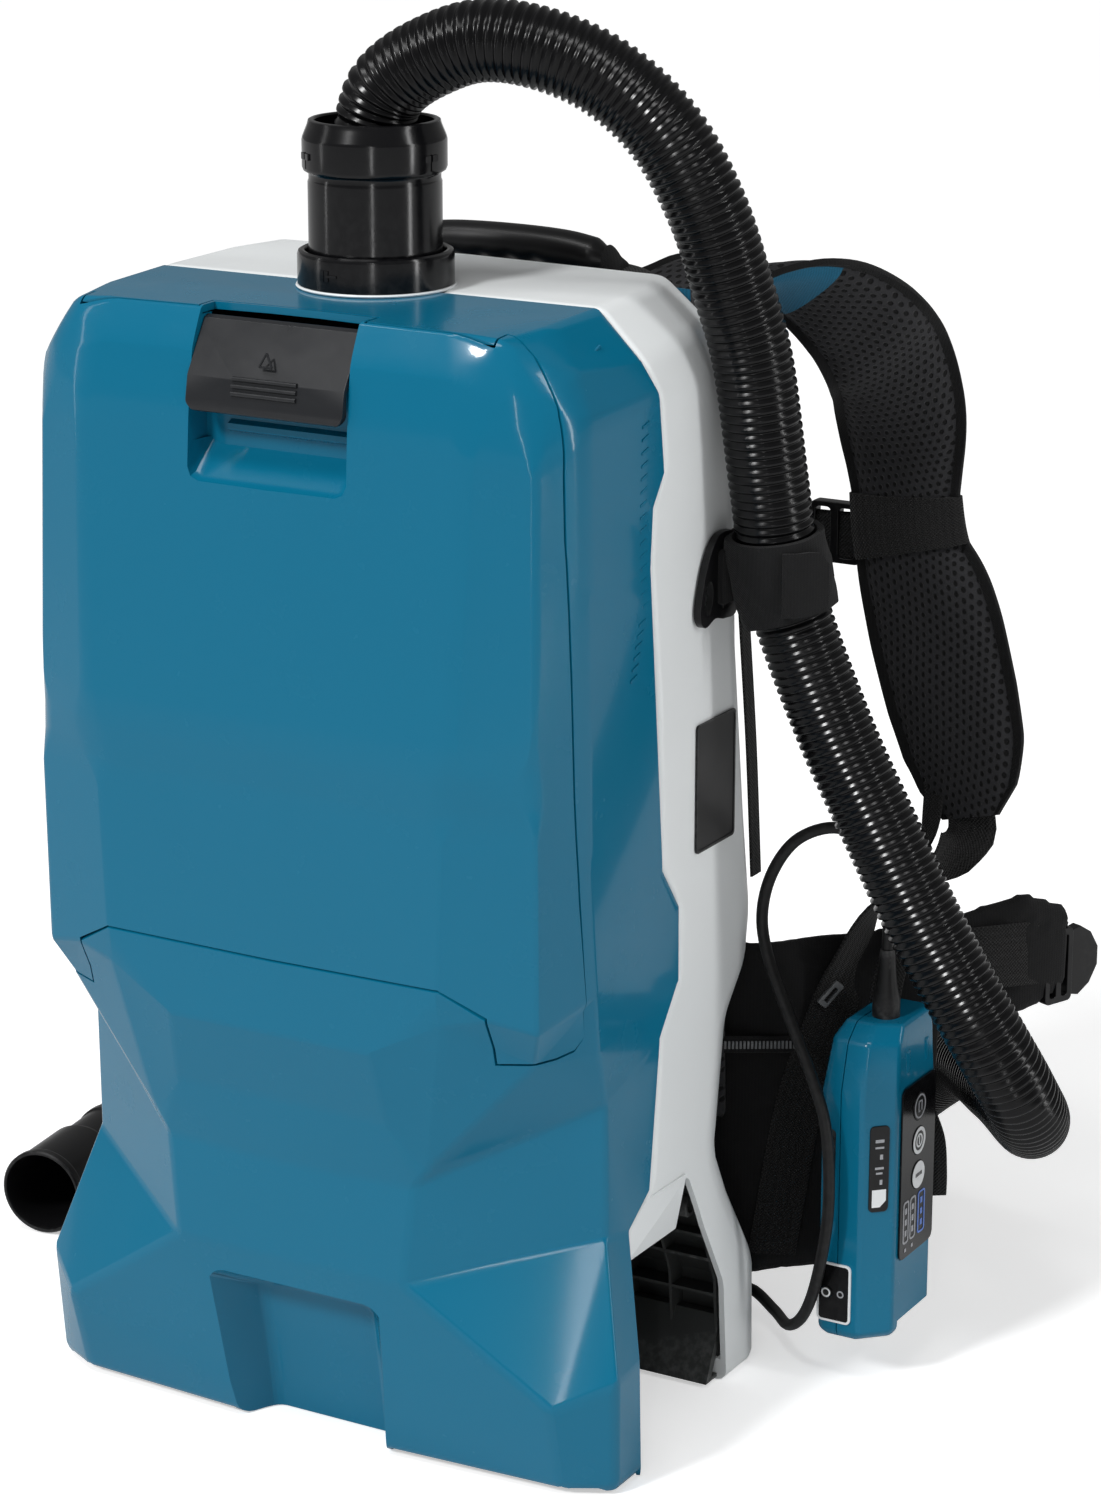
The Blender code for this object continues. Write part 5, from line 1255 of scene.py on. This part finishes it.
def make_shoulder(side, word):
    """Padded strap with bound edges, a teal cover at its upper end and folds over the shoulder."""
    route = STRAP_ROUTE if side > 0 else lowered(STRAP_ROUTE, [3, 4.5], LEFT_DROP)
    points = smooth_route(route, PAD_RINGS)
    sides = evenly(STRAP_ACROSS, PAD_RINGS)
    flare = [(-22, 0.0), (-14, 0.06), (-8, 0.13), (-4, 0.2), (-2, 0.33), (0, 0.47), (3, 0.53), (7, 0.6), (10, 0.68),
             (10, 0.78), (8, 0.86), (3, 0.92), (-10, 0.965), (-34, 1.0)]

    def width_at(share):
        for (w0, s0), (w1, s1) in zip(flare, flare[1:]):
            if share <= s1:
                return 66 + w0 + (w1 - w0) * (share - s0) / max(s1 - s0, 1e-6)
        return 32

    us = [-u for u in PAD_SECTION[:-1]] + list(PAD_SECTION[::-1])

    def section(share):
        half = width_at(share) / 2
        full = 6.4 * min(1.0, 0.35 + share * 9, 0.3 + (1 - share) * 8)
        full *= 1 - 0.32 * exp(-(((share - 0.655) / 0.045) ** 2))
        half *= 1 - 0.2 * exp(-(((share - 0.64) / 0.07) ** 2))
        shape = []
        for u in us:
            fold = 0.9 * exp(-((share - 0.36) / 0.09) ** 2) * sin(70 * share + 2.2 * u)
            fold += 0.8 * exp(-((share - 0.80) / 0.05) ** 2) * sin(46 * share - 1.4 * u)
            fold += 0.22 * sin(33 * share + 3 * u)
            shape.append((u * half, strap_rise(u, full) + fold * (1 - u * u)))
        for u in us[::-1][1:-1]:
            shape.append((u * half, -strap_rise(u, full)))
        return shape

    strap = mirror(band_mesh(f"shoulder_pad_{word}", points, sides, section), side)
    for v in strap.data.vertices:
        if v.co.x < -0.1:
            v.co.z = min(v.co.z, PAD_CREST + 0.4 * (v.co.z - PAD_CREST))
    soft(strap, MESH_CLOTH, f"shoulder_strap_{word}", 60)
    strap.data.materials.append(CLOTH)
    strap.data.materials.append(TEAL_CLOTH)
    n = 2 * len(us) - 2
    for face in strap.data.polygons:  # 0 is mesh, 1 the binding and the ends, 2 the teal cover
        if len(face.vertices) > 4:
            face.material_index = 1
            continue
        ring = min(face.vertices) // n
        js = [v % n for v in face.vertices]
        j = min(js) if max(js) - min(js) < n / 2 else n - 1
        upper = j < len(us) - 1
        k = j if upper else j - (len(us) - 1)
        edge = k <= 3 or k >= len(us) - 5
        if edge:
            face.material_index = 1
        elif upper and ring < TEAL_RINGS:
            face.material_index = 2
    return points, sides


def keeper_section(share):
    """The elastic loop round a shoulder pad: a flat oval, a little wavy."""
    half, thick = 31.5 + 1.2 * share, 6.4
    outline = []
    for a in turns(40):
        c, s = cos(a), sin(a)
        outline.append((half * copysign(abs(c) ** 0.45, c),
                        thick * copysign(abs(s) ** 0.8, s) + 0.12 * sin(5 * share + 3 * a)))
    return outline


def make_straps():
    """Shoulder pads, with the webbing that runs from them down to the belt."""
    for side, word in SIDES:
        points, sides = make_shoulder(side, word)
        keeper = band_mesh(f"strap_keeper_{word}", points[KEEPER_RINGS], sides[KEEPER_RINGS], keeper_section)
        soft(mirror(keeper, side), WEBBING)
        route = [(207.5, 223.5, 272)] + WEB_ROUTE
        thin = [(184, 231, 303), (186, 224, 278), (188, 212, 255), (186, 190, 240), (181, 168, 231)]
        if side < 0:
            route, thin = lowered(route, [LEFT_DROP, LEFT_DROP, 8], 0), lowered(thin, [], 9)
        turn = [(1, 0.05, 0.3), (0.45, 0.85, 0.1), (0.1, 1, 0), (0, 1, 0), (0.3, 0.95, 0), (0.74, 0.66, 0)]
        turn += [(0.78, 0.62, 0)] * 5
        webbing(f"strap_web_{word}", sided(route, side), sided(turn, side), 25, 1.8, 60, f"strap_webbing_{word}")
        webbing(f"strap_lead_{word}", sided(thin, side), [(side * 0.55, 0.2, 0.8)], 12, 1.4, 24)
        stitch_box(f"web_stitch_{word}", side, Vector((146.6, 126.0, 57)), Vector((147.4, 126.7, 74)))


BELT_OUT = Vector((0.642, -0.766, 0))  # away from the wearer, and along the belt, beside the shell
BELT_ALONG = Vector((0.766, 0.642, 0))


def stitch_box(name, side, low, high):
    """Raised thread in a crossed box where webbing is sewn down."""
    up = (high - low).normalized()
    c = (low + high) / 2 + BELT_OUT * 1.05
    w, h = 9.0, 11.0
    corners = [c + BELT_ALONG * u * w + up * v * h for u, v in ((-1, -1), (1, -1), (1, 1), (-1, 1))]
    stitches = []
    for j, k in ((0, 1), (1, 2), (2, 3), (3, 0), (0, 2), (1, 3)):
        a, b = corners[j], corners[k]
        steps = int((b - a).length / 3.0)
        for i in range(steps):
            p, q = a.lerp(b, (i + 0.15) / steps), a.lerp(b, (i + 0.8) / steps)
            stitches.append(block("stitch", (p + q) / 2, q - p, BELT_OUT, ((q - p).length, 0.5, 0.55)))
    mirror(merged(stitches, name, THREAD), side)


def make_yoke():
    """Fabric panel over the top of the back."""
    rings = []
    for z, y in ((557.5, 77.4), (549, 78.0), (540, 78.6), (526, 79.4), (512, 80.4)):
        ahead, back = range(-118, 119, 8), range(118, -119, -8)
        rings.append([(x, y + 1.1 + 0.5 * sin(x * 0.05 + z * 0.2), z - abs(x) * 0.012) for x in ahead]
                     + [(x, y, z - abs(x) * 0.012) for x in back])
    yoke = soft(loft("yoke_cloth", rings), TEAL_CLOTH, "yoke_panel")


def make_sternum():
    """Chest strap: two webbings with sliders, and the buckle's socket and plug."""
    y, z = 248.0, 400.0
    route = [(17.9, y + 3, z), (60, y + 2, z - 1), (104, y + 0.6, z + 1), (122, y + 0.2, z + 1.6),
             (150, y - 0.5, z + 4)]
    for side, word in SIDES:
        webbing(f"sternum_web_{word}", sided(route, side), [(0, 0.05, 1)], 25, 1.6, 28, f"sternum_strap_{word}")
        loop = prism(f"sternum_slider_{word}", "Y", rounded((101, 386.5), (130, 419), 3, 4), y - 2.2, y + 5.0)
        for x0, x1 in ((104, 112.6), (117.4, 126.8)):
            cut(loop, prism("slider_hole", "Y", rounded((x0, 389.5), (x1, 416), 2, 3), y - 9, y + 9))
        hard(bevel(mirror(loop, side), 0.9, 30, 3), BLACK_SATIN)
    socket = prism("sternum_socket", "Y", rounded((0.4, 385), (17.2, 415), 3.6, 4), y - 1.2, y + 8)
    cut(socket, prism("socket_mouth", "Y", rounded((5, 391), (12, 409), 2, 3), y + 5, y + 12))
    hard(bevel(socket, 1.4, 30, 3), BLACK_SATIN, "sternum_buckle_socket")
    plug = prism("sternum_plug", "Y", rounded((-17.2, 386), (-0.4, 414), 3.6, 4), y - 0.6, y + 7.4)
    for height in (392, 400, 408):
        cut(plug, box("plug_grip", (-14.5, -10.5), (y + 6.6, y + 12), (height - 1.4, height + 1.4)))
    hard(bevel(plug, 1.2, 30, 3), BLACK_SATIN, "sternum_buckle_plug")


def swell(obj, pressure, cap, voxel, frames):
    """Fills a pad with a short cloth simulation, no vertex moving more than cap millimetres, and keeps the result."""
    modified(obj, "REMESH", mode="VOXEL", voxel_size=voxel * MM)
    start = [v.co.copy() for v in obj.data.vertices]
    cloth = obj.modifiers.new("cloth", "CLOTH")
    cloth.settings.use_pressure = True
    cloth.settings.uniform_pressure_force = pressure
    cloth.settings.effector_weights.gravity = 0
    cloth.settings.quality = 5
    cloth.point_cache.frame_start = 1
    cloth.point_cache.frame_end = frames
    for frame_number in range(1, frames + 1):
        SCENE.frame_set(frame_number)
    baked(obj)
    for v, p in zip(obj.data.vertices, start):
        move = v.co - p
        if move.length > cap * MM:
            v.co = p + move.normalized() * cap * MM
    SCENE.frame_set(1)


def press(obj, *lines):
    """Presses sewn channels into a pad: each line is (distance from it in mm, half width, depth)."""
    obj.data.update()
    normals = [v.normal.copy() for v in obj.data.vertices]
    for v, n in zip(obj.data.vertices, normals):
        deep = 0.0
        for distance, half, depth in lines:
            d = abs(distance(v.co / MM))
            if d < half:
                deep = max(deep, depth * (1 - (d / half) ** 2) ** 2)
        v.co -= n * deep * MM


AWAY = 99  # a distance in millimetres that no channel reaches


def make_back_pad():
    """Cushion against the wearer's back, with sewn channels and load straps at its sides."""
    rings = []
    for z, half, deep in ((116, 118, 7), (126, 129, 11), (190, 131, 11), (246, 131, 11), (310, 131, 11), (385, 131, 11),
                          (440, 131, 11), (465, 122, 11), (482, 108, 9), (494, 92, 6)):
        y = max(back_line(z), 98 if z < 260 else 0) + 2.2
        rings.append([(-half, y, z), (half, y, z), (half + 1, y + deep * 0.5, z), (half - 5, y + deep, z),
                      (-half + 5, y + deep, z), (-half - 1, y + deep * 0.5, z)])
    pad = loft("back_cushion", rings)
    swell(pad, 3.0, 3.2, 6.0, 14)

    def seams(p):
        inner = min(abs(abs(p.x) - 42), abs(p.z - 262), abs(p.z - 374))
        return inner if p.y >= back_line(p.z) + 9 else AWAY

    def border(p):
        outer = max(abs(p.x) / 121, abs(p.z - 306) / 178) - 1
        return abs(outer) * 110 if p.y >= back_line(p.z) + 8 else AWAY

    press(pad, (seams, 5.0, 4.2), (border, 3.4, 2.4))
    soft(pad, PAD_MESH, "back_pad", 180)
    for side, word in SIDES:
        strip = sided([(143, 82, 452), (144.5, 86, 400), (145.5, 94, 330), (146, 100, 262)], side)
        webbing(f"load_strap_{word}", strip, [(0.1 * side, 1, 0)], 9, 1.4, 24)


def back_line(z):
    rows = [(r[3][2], r[3][1]) for r in BACK_ROWS]
    for (z1, y1), (z0, y0) in zip(rows, rows[1:]):
        if z0 <= z <= z1:
            return y0 + (y1 - y0) * (z - z0) / (z1 - z0)
    return rows[-1][1]


BELT_ROUTE = [
    (100, 122.4), (134, 126.5), (162, 150), (189, 168), (206, 179), (213, 184), (242, 214), (255, 240),
]
BELT_LOW = [30, 32, 34, 72, 100, 166, 168, 177]
BELT_HIGH = [214, 219, 221, 223, 226, 228, 238, 226]


def make_belt():
    """The two padded wings of the waist belt."""
    top = [(x, y, h) for (x, y), h in zip(BELT_ROUTE, BELT_HIGH)]
    rings = []
    for i, (x, y) in enumerate(BELT_ROUTE):
        px, py = BELT_ROUTE[max(i - 1, 0)]
        qx, qy = BELT_ROUTE[min(i + 1, len(BELT_ROUTE) - 1)]
        d = Vector((qx - px, qy - py, 0)).normalized()
        low, high, t = BELT_LOW[i] + 1.5, BELT_HIGH[i] - 1.5, 5.0
        shape = [(t, low + 5), (t, high - 5), (t - 3, high), (3 - t, high), (-t, high - 5), (-t, low + 5),
                 (3 - t, low), (t - 3, low)]
        rings.append([(x - d.y * u, y + d.x * u, v) for u, v in shape])
    for side, word in SIDES:
        belt = loft(f"belt_pad_{word}", rings)
        swell(belt, 2.5, 2.2, 4.6, 12)
        press(
            belt,
            (lambda p: AWAY if p.x < 120 else p.z - belt_height(top, p) + 12, 2.6, 1.8),
            (lambda p: AWAY if p.x > 186 else p.z - 178 + 0.1 * p.x, 4.0, 2.2),
            (lambda p: AWAY if p.x > 178 else p.z - 98 - 0.2 * p.x, 3.0, 1.5),
            (lambda p: AWAY if p.x < 200 else abs((p.x - 205) * 0.5 + (p.z - 205)) - 2, 3.0, 1.3),
        )
        soft(mirror(belt, side), CLOTH, f"waist_belt_{word}", 180)
        make_belt_trim(side, word)


def belt_height(top, p):
    for (x0, _, h0), (x1, _, h1) in zip(top, top[1:]):
        if x0 <= p.x <= x1:
            return h0 + (h1 - h0) * (p.x - x0) / (x1 - x0)
    return top[-1][2] if p.x > 200 else top[0][2]


def make_belt_trim(side, word):
    """Closure, clip, webbing and ladder lock on one wing."""
    base = Vector((138.5, 121.1, 0)) + BELT_OUT * 1.6
    # ridged closure line with its tape
    tape = [base + BELT_ALONG * u + Vector((0, 0, 164 - 0.06 * u)) for u in (-24, -8, 8, 24)]
    webbing(f"closure_tape_{word}", sided(tape, side), [(0, 0, 1)], 9, 1.2, 20, material=CLOTH)
    teeth = []
    for k in range(22):
        p = base + BELT_OUT * 0.9 + BELT_ALONG * (-22 + k * 2.0) + Vector((0, 0, 165.4 - 0.12 * k))
        teeth.append(block("tooth", p, (0, 0, 1), BELT_OUT, (4.0, 1.2, 1.1)))
    mirror(merged(teeth, f"closure_teeth_{word}", INNER_GREY), side)
    # small clip seen beside the hose, and the belt's loose tail
    at, along = base + BELT_ALONG * 36 + BELT_OUT * 2.4 + Vector((0, 0, 190)), (0.5, 0.42, 0.75)
    clip = bevel(block(f"belt_clip_{word}", at, along, BELT_OUT, (15, 4.4, 6)), 1.0, 30, 2)
    cut(clip, block("clip_gap", at, along, BELT_OUT, (9, 8, 2.4)))
    hard(mirror(clip, side), INNER_GREY)
    tail = [(206, 170.5, 120), (210, 173, 106), (211, 174, 88), (210.5, 175, 76)]
    webbing(f"belt_tail_{word}", sided(tail, side), [(side * 0.83, 0.55, 0)], 20, 1.6, 20)
    # webbing through the ladder lock at the wing's end
    run = [(216, 178, 204), (231, 190, 205), (243, 207, 204), (250, 222, 202), (254.5, 236, 198)]
    webbing(f"belt_web_{word}", sided(run, side), [(0, 0, 1)], 34, 1.6, 30)
    u = Vector((0.38, 0.92, 0))
    w = Vector((0.92, -0.38, 0))
    c = Vector((253.0, 237.0, 192))

    def plate(name, outline, deep):
        return loft(name, [[c + u * a + Vector((0, 0, b)) + w * t for a, b in outline] for t in deep])

    lock = plate(f"ladder_lock_{word}", rounded((-13, -20), (6, 20), 3, 4), (-1.0, 4.6))
    for low, high in ((-9.8, -5.4), (-1.6, 2.6)):
        cut(lock, plate("lock_slot", rounded((low, -16.6), (high, 16.6), 1.4, 3), (-12, 12)))
    nose = [(4, -17), (12, -19), (20, -14), (25.5, -5), (25.5, 5), (20, 14), (12, 19), (4, 17)]
    join(lock, plate("lock_nose", nose, (-2.4, 3.4)))
    hard(mirror(bevel(lock, 0.9, 30, 3), side), BLACK_SATIN, f"belt_buckle_{word}")


def make_handle():
    """Carrying handle: moulded grip, wrapped at both ends, on webbing sewn to the harness."""
    y = back_line(545) + 14
    grip = [(-42, y, 564), (-22, y + 1, 566.6), (10, y + 2, 567.2), (42, y + 1, 566.4), (66, y, 563)]
    rings = []
    for i, p in enumerate(smooth_route(grip, 60)):
        share = i / 59
        r = 9.2 * min(1.0, 0.62 + 6 * share, 0.62 + 6 * (1 - share))
        ring = []
        for a in turns(28):
            dimple = 0.0
            for at in (0.22, 0.36, 0.5, 0.64):  # finger grooves
                gap = ((share - at) / 0.045) ** 2 + ((a - 1.28 * pi) / 0.55) ** 2
                dimple += 1.5 * exp(-gap)
            rr = r - dimple
            ring.append((p.x, p.y + rr * cos(a), p.z + rr * 1.1 * sin(a)))
        rings.append(ring)
    soft(loft("handle_grip_moulded", rings), BLACK_SATIN, "handle_grip")
    left = [(-66, 80.5, 538), (-56, y - 3, 544), (-44, y - 2, 554)]
    right = [(64, y - 0.6, 560.6), (84, y - 2.4, 558), (99, 80.5, 552)]
    webbing("handle_end_left", left, [(0.1, 1, 0.2)], 15, 2.6, 24, "handle_webbing")
    webbing("handle_end_right", right, [(-0.1, 1, 0.2)], 15, 2.6, 24)
    for name, x, lean, drop in (("handle_wrap_left", -40, 5, 7), ("handle_wrap_right", 66, -9, 3.4)):
        rings = []
        for k in range(8):
            share = k / 7
            r = 8.4 - 2.8 * share + 0.35 * sin(9 * share)
            rings.append([(x - lean * share, y + r * cos(a),
                           563.0 - drop * share + r * (1 - 0.35 * share) * sin(a))
                          for a in turns(24)])
        soft(loft(name, rings), CLOTH, slot="webbing")


def make_hanger():
    """Webbing that hangs the control box from the belt, and the cable's rubber boot."""
    top = BOX_Z[1]
    route = [(200, 139, top - 7), (199, 146, top + 5), (199, 156, top + 16), (200.6, 165.2, top + 24)]
    webbing("box_hanger_web", route, [(1, 0.1, 0), (1, 0.2, 0), (0.84, 0.54, 0)], 16, 2.0, 24, "box_hanger")
    boot = turned("box_boot", "Z", BOX_TOP_AT, [
        (3.3, 188), (7.0, 188), (7.0, 199), (5.4, 207), (4.6, 214), (4.1, 222), (3.6, 226), (3.3, 226)], 32)
    hard(boot, RUBBER)


# ---- bag and the solids that keep their CAD shape


def make_bag():
    """Paper dust bag: pleated sides that sag from its card plate."""
    rings = []
    levels = [(6, 0.44, 0.6), (12, 0.62, 0.74), (25, 0.8, 0.86), (45, 0.92, 0.95), (65, 0.98, 1.0),
              (95, 1.02, 1.03), (125, 1.03, 1.04), (155, 1.03, 1.04), (185, 1.0, 0.99), (205, 0.96, 0.93),
              (217, 0.84, 0.78), (223, 0.7, 0.6)]
    outline = rounded((-88, -36), (88, 36), 22, 8)
    for drop, s, t in levels:
        ring = []
        for k, (x, y) in enumerate(outline):
            fold = 1 + 0.018 * sin(k * 2.1 + drop * 0.07) + 0.012 * sin(drop * 0.35 + x * 0.05)
            ring.append((x * s * fold, y * t * fold - 8, 545.0 - drop))
        rings.append(ring)
    bag = modified(loft("dust_bag_paper", rings), "SUBSURF", levels=1, render_levels=1)
    soft(bag, PAPER, "dust_bag", 60)


KEPT = {
    "door_hinge_pin": STEEL, "latch_pin": STEEL, "latch_spring": STEEL, "rotor_shaft": STEEL, "motor_bearing": STEEL,
    "motor_can": STEEL, "inlet_seal": RUBBER, "door_gasket": RUBBER, "chamber_tub": DARK_MOULD,
    "filter_frame": INNER_GREY, "pleated_filter": PLEAT, "bag_holder": INNER_GREY, "fan_shroud": DARK_MOULD,
    "impeller": INNER_GREY, "controller_board": BOARD, "base_frame": DARK_MOULD, "bay_insert_right": DARK_RIB,
    "bay_insert_left": DARK_RIB, "battery_dock_right": BLACK_SATIN, "battery_dock_left": BLACK_SATIN,
    "control_panel": BLACK_GLOSS, "panel_button_sync": BLACK_SATIN, "panel_button_power": BLACK_SATIN,
    "panel_button_mode": BLACK_SATIN, "pairing_button": BLACK_SATIN,
}


def finish_kept():
    """Looks for the solids that keep their CAD shape."""
    for node, material in KEPT.items():
        for entry in NODES[node].material_slots:
            entry.material = material


make_camera()
make_world()
make_floor()
make_lamps()
make_hose()
make_cable()
COVER_OBJ, DOOR_OBJ = make_cover()
add_door_details(DOOR_OBJ)
hard(COVER_OBJ, TEAL, "front_housing", 34)
hard(DOOR_OBJ, TEAL, "front_door", 34, body="door")
make_latch()
make_shell()
make_inlet()
make_vents()
make_flap()
make_side_plate()
make_hook()
make_band()
make_box()
make_straps()
make_yoke()
make_sternum()
make_back_pad()
make_belt()
make_handle()
make_hanger()
make_bag()
finish_kept()
